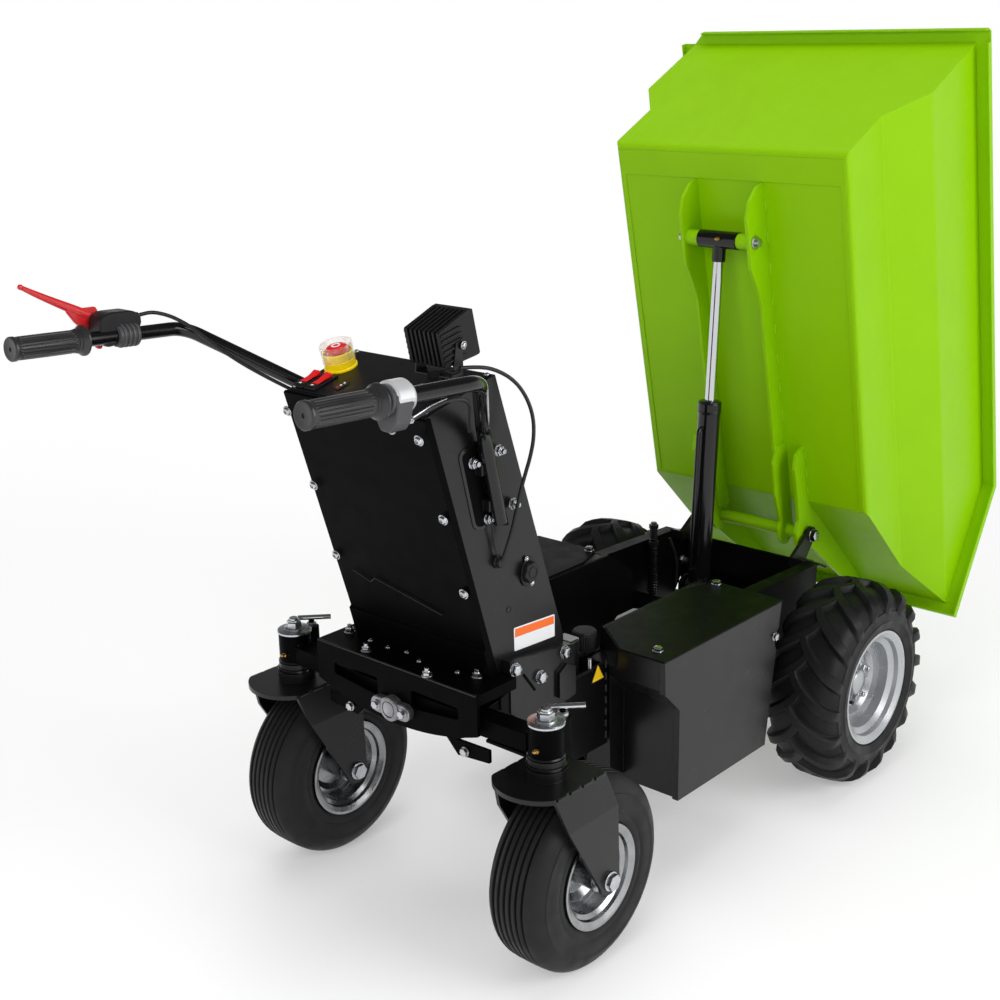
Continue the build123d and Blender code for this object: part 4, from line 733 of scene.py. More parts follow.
@dataclass
class CasterWheel:
    """Grooved pneumatic tyre of a swivel wheel."""

    side: Side
    hub: Point = (-418.0, 287.0, 164.5)
    tread: Outline = ((-33, 162.6), (-20, 164.1), (0, 164.5), (20, 164.1), (33, 162.6))
    grooves: tuple[float, ...] = (-28.5, -17.1, -5.7, 5.7, 17.1, 28.5)
    groove: Outline = ((2.9, 0.1), (2.3, 0.8), (1.38, 6.0))     # from its middle, below the tread
    wall: Outline = (           # y and radius, from the tread to the bead
        (34.5, 162), (37, 160.8), (43, 155.5), (49, 147.5), (53, 138), (53.4, 136), (54.6, 135.4),
        (55, 133), (54.6, 131.4), (55.6, 124), (55.7, 112), (54.8, 106), (53.6, 104.5), (53.4, 102.5),
        (54, 101), (53, 95), (51.6, 90), (49.5, 87.8), (49, 80.3),
    )

    def crown(self, y: float) -> float:
        """Radius of the tread at y."""
        for (y0, r0), (y1, r1) in zip(self.tread, self.tread[1:]):
            if y0 <= y <= y1:
                return r0 + (r1 - r0) * (y - y0) / (y1 - y0)
        raise ValueError(f"{y} is outside the tread")

    def build(self) -> None:
        """Build the tyre with its grooves and sidewall rings."""
        top = [self.tread[0]]
        for y in self.grooves:
            r = self.crown(y)
            top += [(y - off, r - deep) for off, deep in self.groove]
            top += [(y + off, r - deep) for off, deep in reversed(self.groove)]
        section = [(-y, r) for y, r in reversed(self.wall)] + top + [self.tread[-1], *self.wall]
        tyre = Piece(f"grooved_tyre_{self.side.word}")
        place = placing(self.side.at(*self.hub), (0, 1, 0), (0, 0, 1))
        tyre.ring([(r, y) for y, r in section], place, CASTER_TYRE, steps=120)
        tyre.build(f"caster_wheel_{self.side.word}", [f"caster_tyre_{self.side.word}"], smooth=40)


@dataclass
class Fork:
    """Swivel fork's kingpin nut, weld stitches and axle ends."""

    side: Side
    swivel: Pair = (-485.0, 287.0)
    trail: float = 67.0
    axle_height: float = 164.5
    leg_face: float = 72.0
    cap_top: float = 438.0
    kingpin: Stages = (
        (40, ((28, 0.2), (30, 1.4), (30, 4.4), (28.6, 5.8), (20, 6.4))),
        (32, ((16.5, 6), (17, 6.6), (17, 8.4), (16, 9))),
        (6, ((13, 9), (13.6, 9.6), (13.6, 18.6), (12.2, 20))),
        (24, ((10.5, 20), (9.8, 22.2), (8, 22.4), (8, 25.4), (7, 26.4))),
    )
    axle_washer: Profile = ((15.5, 0), (16, 0.6), (16, 2.4), (15, 3))
    race_height: float = 369.0
    race: Profile = ((31, 0), (32.4, 1.5), (32.4, 6), (30, 7.5))
    stitch_starts: range = range(-50, 50, 30)       # from the swivel's axis
    stitch_length: float = 21.0
    stitch_size: float = 3.2
    stitch_off: float = 62.5                        # from the fork's middle
    stitch_height: float = 350.0

    def build(self) -> None:
        """Build the kingpin's washers and nut, the welds and the axle's ends."""
        sx, sy = self.swivel[0], self.side.value * self.swivel[1]
        top = Piece(f"kingpin_nut_{self.side.word}")
        top.stack(self.kingpin, upright(sx, sy, self.cap_top), ZINC)
        top.build(f"caster_{self.side.word}", [f"kingpin_cap_{self.side.word}"])

        trim = Piece(f"fork_trim_{self.side.word}")
        for leg in Side:
            y = sy + leg.value * self.stitch_off
            trim.stitches(self.stitch_starts, self.stitch_length, lambda x: (sx + x, y, self.stitch_height),
                          self.stitch_size, BLACK)
            end = (sx + self.trail, sy + leg.value * self.leg_face, self.axle_height)
            trim.turned(self.axle_washer, placing(end, leg.out), ZINC, steps=28)
        trim.turned(self.race, upright(sx, sy, self.race_height), BLACK_SMOOTH)
        trim.build(f"caster_{self.side.word}")


# ------------------------------------------------------------------ rear axle and deck
@dataclass
class AxleBeam:
    """Welds, grease nipples and bolts of the rocking beam and its swivel locks."""

    swivel: Pair = (-485.0, 287.0)
    gusset_bolt: Point = (-500.0, 132.0, 347.0)
    nipple_at: Point = (-512.0, -6.0, 404.0)        # y from the swivel's axis
    nipple_lean: Point = (-1, -0.2, 0.25)
    nipple: Profile = ((4, 0), (4, 5), (2.4, 6), (2.4, 10), (3.2, 12), (1.2, 14))
    tube_ring: Profile = ((28.6, 0), (30.2, 1.6), (28.6, 4))
    tube_ring_height: float = 386.0
    seam: tuple[Point, Point] = ((-470, 262, 421), (-500, 262, 421))
    seam_size: float = 3.0
    lock_pin: Pair = (-445.0, 434.0)
    lock_head: Profile = ((9, 2), (9, 8), (7, 9.5))

    def build(self) -> None:
        """Build the beam's fittings on both sides."""
        piece = Piece("axle_fittings")
        for side in Side:
            y = side.value * self.swivel[1]
            piece.bolt(side.at(*self.gusset_bolt), (-1, 0, 0), thread=8)
            x, off, z = self.nipple_at
            piece.turned(self.nipple, placing((x, y + off, z), self.nipple_lean), BRASS, steps=12)
            piece.turned(self.tube_ring, upright(self.swivel[0], y, self.tube_ring_height), BLACK, steps=36,
                         caps=False)
            piece.weld(*(side.at(*p) for p in self.seam), self.seam_size, BLACK)
            piece.turned(self.lock_head, upright(self.lock_pin[0], y, self.lock_pin[1]), ZINC, steps=20)
        piece.build("axle")


@dataclass
class RearDeck:
    """Studs, bearing bolts and welds on the rear deck."""

    top: float = 465.0
    studs: Outline = ((-470, 159), (-508, 78), (-516, -69), (-469, -133))
    screws: Outline = ((-474, 104), (-476, 60), (-470, 22), (-484, -20), (-477, -98))
    seam: tuple[Point, Point] = ((-523, -180, 464), (-523, 180, 464))
    seam_size: float = 2.2
    bearing: Point = (-533.0, 0.0, 394.0)
    bearing_bolt_gap: float = 30.0
    lobe_radius: float = 14.0
    lobe_steps: int = 10
    plate: Pair = (0.2, 3.0)
    plate_bevel: float = 1.2
    boss: Profile = ((21, 0.2), (20.5, 5), (18.5, 6.5), (14.5, 6.5), (13.5, 4))

    def fasteners(self) -> None:
        """Build the deck's studs, screws and seam."""
        piece = Piece("deck_fasteners")
        for x, y in self.studs:
            piece.bolt((x, y, self.top), (0, 0, 1), thread=9, kind=BoltHead.NUT)
        for x, y in self.screws:
            piece.bolt((x, y, self.top), (0, 0, 1), thread=5, kind=BoltHead.DOME)
        piece.weld(*self.seam, self.seam_size, BLACK)
        piece.build("chassis")

    def casting(self) -> None:
        """Build the cast bearing's flange with a lobe round each bolt, and its boss."""
        piece = Piece("bearing_casting")
        place = placing(self.bearing, (-1, 0, 0), (0, 1, 0))
        outline = []
        for side, way in ((1, -1), (-1, 1)):
            turns = [pi / 2 + way * pi * i / self.lobe_steps for i in range(self.lobe_steps + 1)]
            outline += [(side * self.bearing_bolt_gap + self.lobe_radius * cos(a), self.lobe_radius * sin(a))
                        for a in (turns[::-1] if side > 0 else turns)]
        piece.prism(outline, place, *self.plate, CAST_ZINC, self.plate_bevel)
        piece.turned(self.boss, place, CAST_ZINC, steps=36)
        for side in Side:
            at = place @ Vector((side.value * self.bearing_bolt_gap, 0, self.plate[1]))
            piece.bolt(at, (-1, 0, 0), thread=8)
        piece.build("chassis")

    def build(self) -> None:
        """Build the deck's fasteners and the cast bearing."""
        self.fasteners()
        self.casting()


# ------------------------------------------------------------------ frame and boxes
@dataclass
class MainFrame:
    """Sign, small rod and weld beads on the frame's side plates, and the apron behind its front plate."""

    plate: float = 167.0
    stitch_at: Pair = (-184.0, 167.5)
    stitch_starts: range = range(262, 400, 22)
    stitch_length: float = 13.0
    stitch_size: float = 2.6
    seam: tuple[Point, Point] = ((-274, 167.5, 402), (-222, 167.5, 402))
    seam_size: float = 2.2
    rod: tuple[Point, Point] = ((-222, -163, 398), (-222, -163, 421))
    rod_radius: float = 3.6
    apron: Outline = ((-162, 240), (162, 240), (162, 316), (-162, 316))
    apron_x: float = 510.0
    apron_thickness: float = 4.0
    apron_bevel: float = 0.8
    sign_centre: Pair = (-206.0, 387.0)
    sign_height: float = 34.0
    sign_layers: tuple = ((1.0, 0.5, SIGN_BLACK), (0.8, 0.8, SIGN_YELLOW))      # size, lift, finish
    sign_thickness: float = 0.45
    sign_half_base: float = 0.577       # of the height, as on an equal-sided triangle

    def trim(self) -> None:
        """Build the welds, the rod and the apron."""
        piece = Piece("frame_trim")
        for side in Side:
            piece.stitches(self.stitch_starts, self.stitch_length, lambda z: side.at(*self.stitch_at, z),
                           self.stitch_size, BLACK)
            piece.weld(*(side.at(*p) for p in self.seam), self.seam_size, BLACK)
        piece.pipe(self.rod, self.rod_radius, ZINC, sides=14)
        # the apron takes the darkest painted-shade copy of the black coat
        piece.prism(self.apron, cross_plane(self.apron_x), 0, self.apron_thickness, BLACK_DEEP_SHADE,
                    self.apron_bevel)
        piece.build("chassis")

    def sign(self) -> None:
        """Build the blank three-cornered sign: yellow on a black edge."""
        sign = Piece("blank_sign")
        x, z = self.sign_centre
        for grow, lift, finish in self.sign_layers:
            half = self.sign_height * self.sign_half_base * grow
            base = -self.sign_height / 3 * grow
            sign.prism([(x - half, z + base), (x + half, z + base), (x, z + 2 * self.sign_height / 3 * grow)],
                       side_plane(-self.plate - lift), self.sign_thickness, 0, finish)
        sign.build("chassis")

    def build(self) -> None:
        """Build the frame's small parts."""
        self.trim()
        self.sign()


@dataclass
class BatteryBoxes:
    """Bolts of the boxes' covers and side faces."""

    top: float = 437.0
    cover_bolts: Outline = ((-153, 254), (174, 152))
    face_bolt: Point = (160.0, 290.0, 372.0)

    def build(self) -> None:
        """Build the boxes' fasteners on both sides."""
        piece = Piece("box_fasteners")
        for side in Side:
            for x, y in self.cover_bolts:
                piece.bolt(side.at(x, y, self.top), (0, 0, 1), thread=9)
            piece.bolt(side.at(*self.face_bolt), side.out, thread=8)
        piece.build("chassis")


@dataclass
class MiddleBay:
    """Filler cap, oil tank, relay case, guarded hose and fittings between the boxes."""

    cap: Point = (-162.0, -104.0, 402.0)
    cap_ribs: int = 36
    cap_radii: Pair = (20.6, 21.6)
    cap_rim: Pair = (3.0, 33.0)
    cap_top: Profile = (
        (20.2, 33), (19.6, 35.5), (17.6, 37.6), (14.5, 37.6), (14.2, 37.0), (12, 37.0), (11.7, 37.6),
        (1, 37.8),
    )
    relay: Outline = ((-19, -116), (-19, -52), (24, -32), (74, -32), (88, -60), (88, -116))
    relay_levels: Pair = (366.0, 390.0)
    tank: Outline = ((-228, -114), (-190, -114), (-190, -82), (-228, -82))
    tank_levels: Pair = (396.0, 437.5)
    hose: Pair = (380.0, 142.0)
    coil_top: float = 394.0
    coil_drop: float = 104.0
    coil_turns: int = 18
    coil_radius: float = 9.4
    coil_wire: float = 1.7
    coil_lean: Point = (3.0, 396.0, 109.0)      # how far back it leans, from this height, over this drop
    coil_steps: int = 16
    hose_fitting: Profile = (
        (6.5, 396), (8.2, 398), (8.2, 410), (6.6, 411), (6.6, 430), (8.4, 431), (8.4, 438), (7, 440),
    )
    lead: tuple[Point, ...] = ((398, 114, 412), (404, 111, 394), (414, 110, 372), (424, 112, 344),
                               (424, 114, 300))
    lead_radius: float = 3.2
    plug_at: Point = (446, 116, 352)
    plug: Profile = ((9, 0), (9, 4), (6, 5), (6, 14))

    def filler(self, piece: Piece) -> None:
        """Add the ribbed filler cap."""
        place = upright(*self.cap)
        ribs = [(self.cap_radii[i % 2] * c, self.cap_radii[i % 2] * s)
                for i, (c, s) in enumerate(around(2 * self.cap_ribs))]
        piece.prism(ribs, place, *self.cap_rim, PLASTIC, soft=1.2)
        piece.turned(self.cap_top, place, CAP_GREY, steps=40)

    def guarded_hose(self, piece: Piece) -> None:
        """Add the wire coil round the hose, its upper fitting and the bolt on top."""
        x, y = self.hose
        back, high, drop = self.coil_lean
        count = self.coil_turns * self.coil_steps
        coil = []
        for i in range(count + 1):
            a, z = 2 * pi * i / self.coil_steps, self.coil_top - self.coil_drop * i / count
            coil.append((x - back * (high - z) / drop + self.coil_radius * cos(a),
                         y + self.coil_radius * sin(a), z))
        piece.pipe(coil, self.coil_wire, BLACK_SMOOTH, sides=6)
        piece.turned(self.hose_fitting, upright(x - 1, y, 0), ZINC, steps=6)
        piece.bolt((x, y, self.hose_fitting[-1][1]), (0, 0, 1), thread=7)

    def build(self) -> None:
        """Build the filler cap, relay case, tank, hose guard, lead and plug."""
        piece = Piece("bay_fittings")
        self.filler(piece)
        piece.prism(self.relay, upright(0, 0, 0), *self.relay_levels, CAP_GREY, soft=2)
        piece.prism(self.tank, upright(0, 0, 0), *self.tank_levels, CAP_GREY, soft=1.5)
        self.guarded_hose(piece)
        piece.pipe(spline(self.lead), self.lead_radius, SHEATH)
        piece.turned(self.plug, placing(self.plug_at, (0, -1, 0)), ZINC, steps=6)
        piece.build("chassis")


# ------------------------------------------------------------------ console
@dataclass
class Console:
    """Cover screws, handle plates, gland, socket, blank label and foot bolts of the console."""

    face: float = 150.0
    rear_normal: Point = (-0.957, 0.0, -0.289)
    cover_bolts: Outline = ((-590, 878), (-545, 747), (-505, 618))
    cover_bolt_y: float = 143.0
    cover_seam: tuple[Point, ...] = ((-497.5, 112, 596), (-493.6, 76, 583), (-496.6, 62, 593),
                                     (-487, -78, 561))
    slot: Outline = ((-519, 842), (-496, 852), (-473, 846), (-448, 728), (-464, 711), (-488, 716))
    slot_rim: float = 6.0
    slot_levels: tuple[float, float, float] = (0.0, 1.6, 2.0)       # wall, rim, shadow
    strip: Outline = ((-478, 853), (-450, 849), (-412, 706), (-441, 714))
    strip_thickness: float = 6.0
    clamp_bolts: Outline = ((-489, 823), (-436, 832), (-458, 729), (-405, 740))
    clamp_lifts: Pair = (2.0, 6.0)                                  # through the slot, on the strip
    spacers: Outline = ((-466, 812), (-451, 752))
    spacer_half: Pair = (17.0, 9.0)
    spacer_depth: float = 16.0
    gland: Pair = (-437.0, 653.0)
    gland_stages: Stages = (
        (6, ((11, 0), (11, 3.5), (9.6, 4.5))),
        (20, ((9, 4.5), (9.4, 8), (8, 11.5), (4, 12))),
    )
    socket: Pair = (-366.0, 617.0)
    flange_half: Pair = (16.74, 24.0)
    flange_lean: float = 3.23
    flange_notch: float = 0.96
    flange_thickness: float = 3.4
    socket_lift: float = 3.0
    lobe_radii: Pair = (17.5, 15.6)
    lobes: int = 6
    lobe_height: float = 10.0
    socket_centre: Profile = ((10, 9.8), (10, 11.2), (8.6, 11.4), (8.4, 10.4))
    socket_screws: Outline = ((-4, 22), (9, -22))
    plug_hole: Pair = (-411.0, 565.0)
    plug_rim: Profile = ((5.6, 0.3), (5.2, 1.0), (4.2, 1.0), (4.0, 0.2))
    label: Outline = ((-400, 530), (-299, 523), (-299, 484), (-399, 490))
    label_thickness: float = 0.5
    band_margin: float = 2.4
    band_share: float = 0.4
    band_top: float = 0.8
    foot_bolts: Outline = ((-422, 472), (-360, 438), (-298, 461))
    foot_face: float = 169.0
    foot_slot: Outline = ((-403, 455), (-398, 457), (-369, 419), (-374, 417))
    foot_slot_depth: float = 0.4

    def covers(self) -> None:
        """Build the rear cover's screws and its seam."""
        piece = Piece("cover_screws")
        for side in Side:
            for x, z in self.cover_bolts:
                piece.bolt(side.at(x, self.cover_bolt_y, z), self.rear_normal, thread=8.5, kind=BoltHead.DOME)
        piece.pipe(self.cover_seam, 1.0, BLACK_SMOOTH, sides=6)
        piece.build("chassis")

    def clamps(self) -> None:
        """Build the slotted plates and bolts that hold both handle tubes."""
        piece = Piece("handle_plates")
        for side in Side:
            plane, out = side_plane(side.value * self.face), -side.value
            wall, rim, shadow = (out * level for level in self.slot_levels)
            piece.prism(rounded(self.slot, radius=12), plane, wall, rim, BLACK_SMOOTH, soft=0.6)
            piece.prism(rounded(inset(self.slot, self.slot_rim), radius=8), plane, rim, shadow, SHADOW)
            # the strip takes the painted-shade copy of the black paint
            piece.prism(rounded(self.strip, radius=4), plane, 0, out * self.strip_thickness, STRIP_SHADE, soft=1.2)
            for i, (x, z) in enumerate(self.clamp_bolts):
                at = side.at(x, self.face + self.clamp_lifts[i % 2], z)
                piece.bolt(at, side.out, thread=9, kind=BoltHead.NUT)
            wide, high = self.spacer_half
            for x, z in self.spacers:
                piece.prism(block(x - wide, z - high, x + wide, z + high), plane, 0, out * self.spacer_depth,
                            BLACK, soft=1.5)
        piece.build("chassis", ["handle_clamps"])

    def sockets(self) -> None:
        """Build the cable gland, the charging socket and the plug hole on the right-hand side."""
        piece = Piece("console_sockets")
        out = Side.RIGHT.out
        piece.stack(self.gland_stages, placing((self.gland[0], -self.face, self.gland[1]), out), PLASTIC)
        x, z = self.socket
        wide, high = self.flange_half
        flange = [(x + wide * c * (1 if i % 10 else self.flange_notch) + self.flange_lean * s, z + high * s)
                  for i, (c, s) in enumerate(around(40))]
        piece.prism(flange, side_plane(-self.face), 0, self.flange_thickness, PLASTIC, soft=0.8)
        y = -self.face - self.socket_lift
        cap = placing((x, y, z), out)
        lobes = [(self.lobe_radii[i % 6 // 3] * c, self.lobe_radii[i % 6 // 3] * s)
                 for i, (c, s) in enumerate(around(6 * self.lobes))]
        piece.prism(lobes, cap, 0, self.lobe_height, PLASTIC, soft=1.6)
        piece.turned(self.socket_centre, cap, PLASTIC, steps=24)
        for dx, dz in self.socket_screws:
            piece.bolt((x + dx, y, z + dz), out, thread=4.5, kind=BoltHead.DOME)
        hole = placing((self.plug_hole[0], -self.face, self.plug_hole[1]), out)
        piece.turned(self.plug_rim, hole, BLACK_SMOOTH, steps=20)
        piece.build("chassis", ["socket_cap"])

    def label_plate(self) -> None:
        """Build the blank label: a white plate with an orange band across its top."""
        piece = Piece("blank_label")
        plane = side_plane(-self.face)
        piece.prism(rounded(self.label, radius=3), plane, 0, self.label_thickness, LABEL_WHITE)
        (x0, z0), (x1, z1), (_, z2), (_, z3) = inset(self.label, self.band_margin)
        share = self.band_share
        band = [(x0, z0), (x1, z1), (x1, z1 + (z2 - z1) * share), (x0, z0 + (z3 - z0) * share)]
        piece.prism(band, plane, self.label_thickness, self.band_top, LABEL_ORANGE)
        piece.build("chassis")

    def foot(self) -> None:
        """Build the flanged bolts and the slots of the foot brackets."""
        piece = Piece("foot_bolts")
        for side in Side:
            for x, z in self.foot_bolts:
                piece.bolt(side.at(x, self.foot_face, z), side.out, thread=11)
            piece.prism(rounded(self.foot_slot, radius=2), side_plane(side.value * self.foot_face), 0,
                        -side.value * self.foot_slot_depth, SHADOW)
        piece.build("chassis")

    def build(self) -> None:
        """Build everything on the console's sides."""
        self.covers()
        self.clamps()
        self.sockets()
        self.label_plate()
        self.foot()


@dataclass
class ControlPanel:
    """Stop button in its clear guard, rocker switches and the indicator on the tilted panel."""

    rear: Pair = (-584.0, 909.0)
    front: Pair = (-433.0, 947.0)
    skin: float = 2.0
    stop: Pair = (-494.0, 121.0)
    stop_seat: Profile = ((27, 0), (27, 2.6), (26, 3.6), (25.2, 3.8), (25.2, 13.5), (24, 15), (12, 15))
    stop_tab: Outline = ((-30, -9), (-22, -9), (-22, 9), (-30, 9))
    stop_tab_height: float = 3.0
    stop_ring: Profile = ((22.4, 14), (24.3, 14), (24.3, 27), (22.4, 27.6))
    mushroom: Profile = (
        (10.5, 14), (10.5, 24), (15, 26), (18.4, 27.5), (19, 30), (18.2, 33.5), (15.5, 36.3), (11, 37.4),
        (7.5, 37.2),
    )
    mushroom_mark: Profile = ((7.4, 37.1), (7.4, 37.6), (5.0, 37.6), (4.6, 36.6))
    mushroom_middle: Profile = ((7.4, 36.4), (4, 36.9), (0.5, 37))
    guard: Profile = ((26.4, 14), (26.9, 39.5), (26.2, 41), (24.8, 40.4), (24.9, 39), (24.6, 14))
    switches: Outline = ((-549, 134), (-549, 107))
    bezel: Outline = ((-26.5, -12), (26.5, -12), (26.5, 12), (-26.5, 12))
    bezel_height: float = 3.2
    rocker_edge: Point = (0, 9.5, 0)        # where the rockers' side outlines start across the switch
    rocker_rest: Outline = ((-22, 3), (-22, 5.2), (-14, 4.6), (-14, 3))
    rocker_rest_span: Pair = (0.0, 19.0)
    paddle: Outline = (
        (-13, 3), (-13, 5.6), (-6, 5.0), (2, 5.6), (10, 7.4), (17, 9.8), (19, 9.6), (19.6, 8), (19.6, 3),
    )
    paddle_span: Pair = (1.8, 17.2)
    rocker_mark: Outline = ((-20, 5.0), (-20, 5.5), (-17, 5.4), (-17, 4.9))
    rocker_mark_span: Pair = (7.0, 12.0)
    indicator_at: Pair = (-547.0, 64.0)
    indicator_case: Outline = ((-13, -7), (13, -7), (13, 7), (-13, 7))
    indicator_height: float = 1.6
    light: Profile = ((1.8, 1.5), (1.7, 2.4), (0.8, 2.8))
    lights: tuple = ((-8, RED_GLOSS), (0, LABEL_WHITE), (8, LABEL_WHITE))
    screws: Outline = ((-572, -140), (-572, 141), (-441, 141), (-441, -141))

    def plane(self, x: float, y: float) -> Matrix:
        """Placing on the panel's face: x forward up the slope, y left, Z out of the panel."""
        rise, run = self.front[1] - self.rear[1], self.front[0] - self.rear[0]
        z = self.rear[1] + (x - self.rear[0]) * rise / run
        up = Vector((-rise, 0, run)).normalized()
        return placing(Vector((x, y, z)) + up * self.skin, up)

    def stop_button(self) -> None:
        """Build the yellow seat, the red mushroom and the clear guard."""
        place = self.plane(*self.stop)
        seat = Piece("stop_seat")
        seat.turned(self.stop_seat, place, YELLOW, steps=48)
        seat.prism(rounded(self.stop_tab, radius=3), place, 0, self.stop_tab_height, YELLOW, soft=0.6)
        seat.ring(self.stop_ring, place, YELLOW, steps=48)
        seat.build("chassis", ["stop_base"])
        button = Piece("stop_mushroom")
        button.turned(self.mushroom, place, RED, steps=48)
        button.turned(self.mushroom_mark, place, LABEL_WHITE, caps=False)
        button.turned(self.mushroom_middle, place, RED)
        button.build("chassis", ["stop_button"])
        guard = Piece("stop_collar")
        guard.ring(self.guard, place, CLEAR, steps=48)
        guard.build("chassis", ["stop_guard"])

    def rockers(self) -> None:
        """Build both rocker switches: black bezels with glossy red paddles."""
        piece = Piece("rocker_pair")
        for spot in self.switches:
            place = self.plane(*spot)
            piece.prism(rounded(self.bezel, radius=2), place, 0, self.bezel_height, PLASTIC, soft=0.8)
            forward, left, _ = place.to_3x3().col
            body = placing(place @ Vector(self.rocker_edge), -left, forward)
            piece.prism(self.rocker_rest, body, *self.rocker_rest_span, PLASTIC, soft=0.4)
            piece.prism(self.paddle, body, *self.paddle_span, RED_GLOSS, soft=1.6)
            piece.prism(self.rocker_mark, body, *self.rocker_mark_span, LABEL_WHITE)
        piece.build("chassis", ["rocker_switches"])

    def indicator(self) -> None:
        """Build the small charge indicator beside the switches, and the panel's screws."""
        piece = Piece("charge_indicator")
        place = self.plane(*self.indicator_at)
        case = rounded(self.indicator_case, radius=2)
        piece.prism(case, place, 0, self.indicator_height, PLASTIC, soft=0.5)
        for x, finish in self.lights:
            piece.turned(self.light, place @ Matrix.Translation((x, 0, 0)), finish, 14)
        for spot in self.screws:
            piece.bolt(self.plane(*spot).translation, place.to_3x3() @ Vector((0, 0, 1)), thread=4.5,
                       kind=BoltHead.DOME)
        piece.build("chassis")

    def build(self) -> None:
        """Build all the controls on the panel."""
        self.stop_button()
        self.rockers()
        self.indicator()


@dataclass
class WorkLamp:
    """Lens, light-emitting cells, cooling fins and screws of the finned lamp."""

    centre: Point = (-479.0, -86.0, 1003.0)
    tilt: float = 13.0
    width: float = 72.0
    face: float = 34.4                      # ahead of the centre
    lens: Outline = ((-29.5, -29), (29.5, -29), (29.5, 29), (-29.5, 29))
    lens_levels: Pair = (0.6, 2.6)
    cells: int = 3
    cell_pitch: float = 18.0
    reflector: Profile = ((8, 0.5), (3, 0.1))
    cell: Profile = ((2.6, 0.1), (2.4, 0.5), (0.5, 0.6))
    fins: int = 6
    fin_start: float = -25.0
    fin_pitch: float = 8.6
    fin_step: float = 0.1                   # by which each fin's lower edge is shorter
    fin: Outline = ((-37, 0), (2, -1.5), (8, 1.2), (2, 3.4), (-37, 3.6))
    fin_depth: float = 2.6
    pivot_drop: float = 7.0
    pivot_off: float = 7.0
    corner_screws: Outline = ((-31, -31), (31, -31), (31, 31), (-31, 31))
    corner_lift: float = 3.4
    foot_screws: tuple[Point, ...] = ((-505, -104, 932), (-505, -68, 932))
    foot_normal: Point = (-0.24, 0, 0.97)

    def build(self) -> None:
        """Build the lens, the cells behind it, and the lamp's fins and screws."""
        a = radians(self.tilt)
        ahead, up = Vector((cos(a), 0, sin(a))), Vector((-sin(a), 0, cos(a)))
        face = placing(Vector(self.centre) + ahead * self.face, ahead, (0, 1, 0))
        lens = Piece("lamp_glass")
        lens.prism(rounded(self.lens, radius=4), face, *self.lens_levels, LENS, soft=0.5)
        lens.build("chassis")

        cells = Piece("lamp_cells")
        rows = [(i - (self.cells - 1) / 2) * self.cell_pitch for i in range(self.cells)]
        for u in rows:
            for v in rows:
                spot = face @ Matrix.Translation((u, v, 0))
                cells.turned(self.reflector, spot, SILVER, steps=20)
                cells.turned(self.cell, spot, YELLOW, steps=12)
        cells.build("chassis")

        body = Piece("lamp_ribs")
        for side in Side:
            middle = Vector(self.centre) + Vector(side.out) * self.width / 2
            plane = placing(middle, (0, -1, 0), ahead)
            for i in range(self.fins):
                low = self.fin_start + i * self.fin_pitch
                fin = [(u, low + v) for u, v in self.fin]
                fin[0] = (fin[0][0] + i * self.fin_step, low)
                body.prism(fin, plane, 0, -side.value * self.fin_depth, ANODISED, soft=0.6)
            body.bolt(middle + up * -self.pivot_drop + Vector(side.out) * self.pivot_off, side.out,
                      thread=6, kind=BoltHead.DOME)
        for u, v in self.corner_screws:
            body.bolt(face @ Vector((u, v, self.corner_lift)), ahead, thread=3.2, kind=BoltHead.DOME)
        for spot in self.foot_screws:
            body.bolt(spot, self.foot_normal, thread=4.5, kind=BoltHead.DOME)
        body.build("chassis")


# ------------------------------------------------------------------ handlebars
@dataclass
class Handlebar:
    """Ribbed rubber grip on one handle tube."""

    side: Side
    end: float = -951.0
    y: float = 315.0
    z: float = 1013.0
    slope: float = -0.05
    ribs: int = 22
    rib_steps: int = 6
    barrel: tuple[Point, ...] = (       # along the tube, radius, depth of the grooves between the ribs
        (8, 17.2, 0.0), (11, 17.0, 0.4), (14, 17.3, 1.3), (60, 17.5, 1.3), (98, 17.3, 1.3),
        (101, 17.0, 0.4), (103, 16.6, 0.0),
    )
    cap: Profile = (
        (3, 2.5), (3.2, 0.8), (13, 0.6), (14.5, 0.0), (17.2, 0.3), (18.2, 1.6), (18.2, 6.5), (17, 8.4),
        (12, 8.5),
    )
    collar: Profile = (
        (16, 102), (17.6, 104), (16.4, 106.5), (18.6, 109), (17.2, 111.5), (20, 115), (23.3, 118.5),
        (23.4, 121), (21.5, 122.6), (11.2, 122.8),
    )

    def at(self, x: float) -> Matrix:
        """Placing square to the tube at x: x to the left, y up, Z toward the console."""
        return placing((x, self.side.value * self.y, self.z + (x - self.end) * self.slope),
                       (1, 0, self.slope), (0, 1, 0))

    def build(self) -> None:
        """Build the grip: end cap, ribs along it and the collar against the hand."""
        grip = Piece(f"ribbed_grip_{self.side.word}")
        place = self.at(self.end)
        rings = []
        for w, radius, depth in self.barrel:
            ring = []
            for j, (c, s) in enumerate(around(self.ribs * self.rib_steps)):
                r = radius - depth * (j % self.rib_steps in (0, self.rib_steps - 1))
                ring.append(place @ Vector((r * c, r * s, w)))
            rings.append(ring)
        grip.rows(rings, GRIP)
        grip.turned(self.cap, place, GRIP, steps=48)
        grip.turned(self.collar, place, GRIP, steps=48)
        grip.build("chassis", ["grips"] if self.side is Side.LEFT else [])


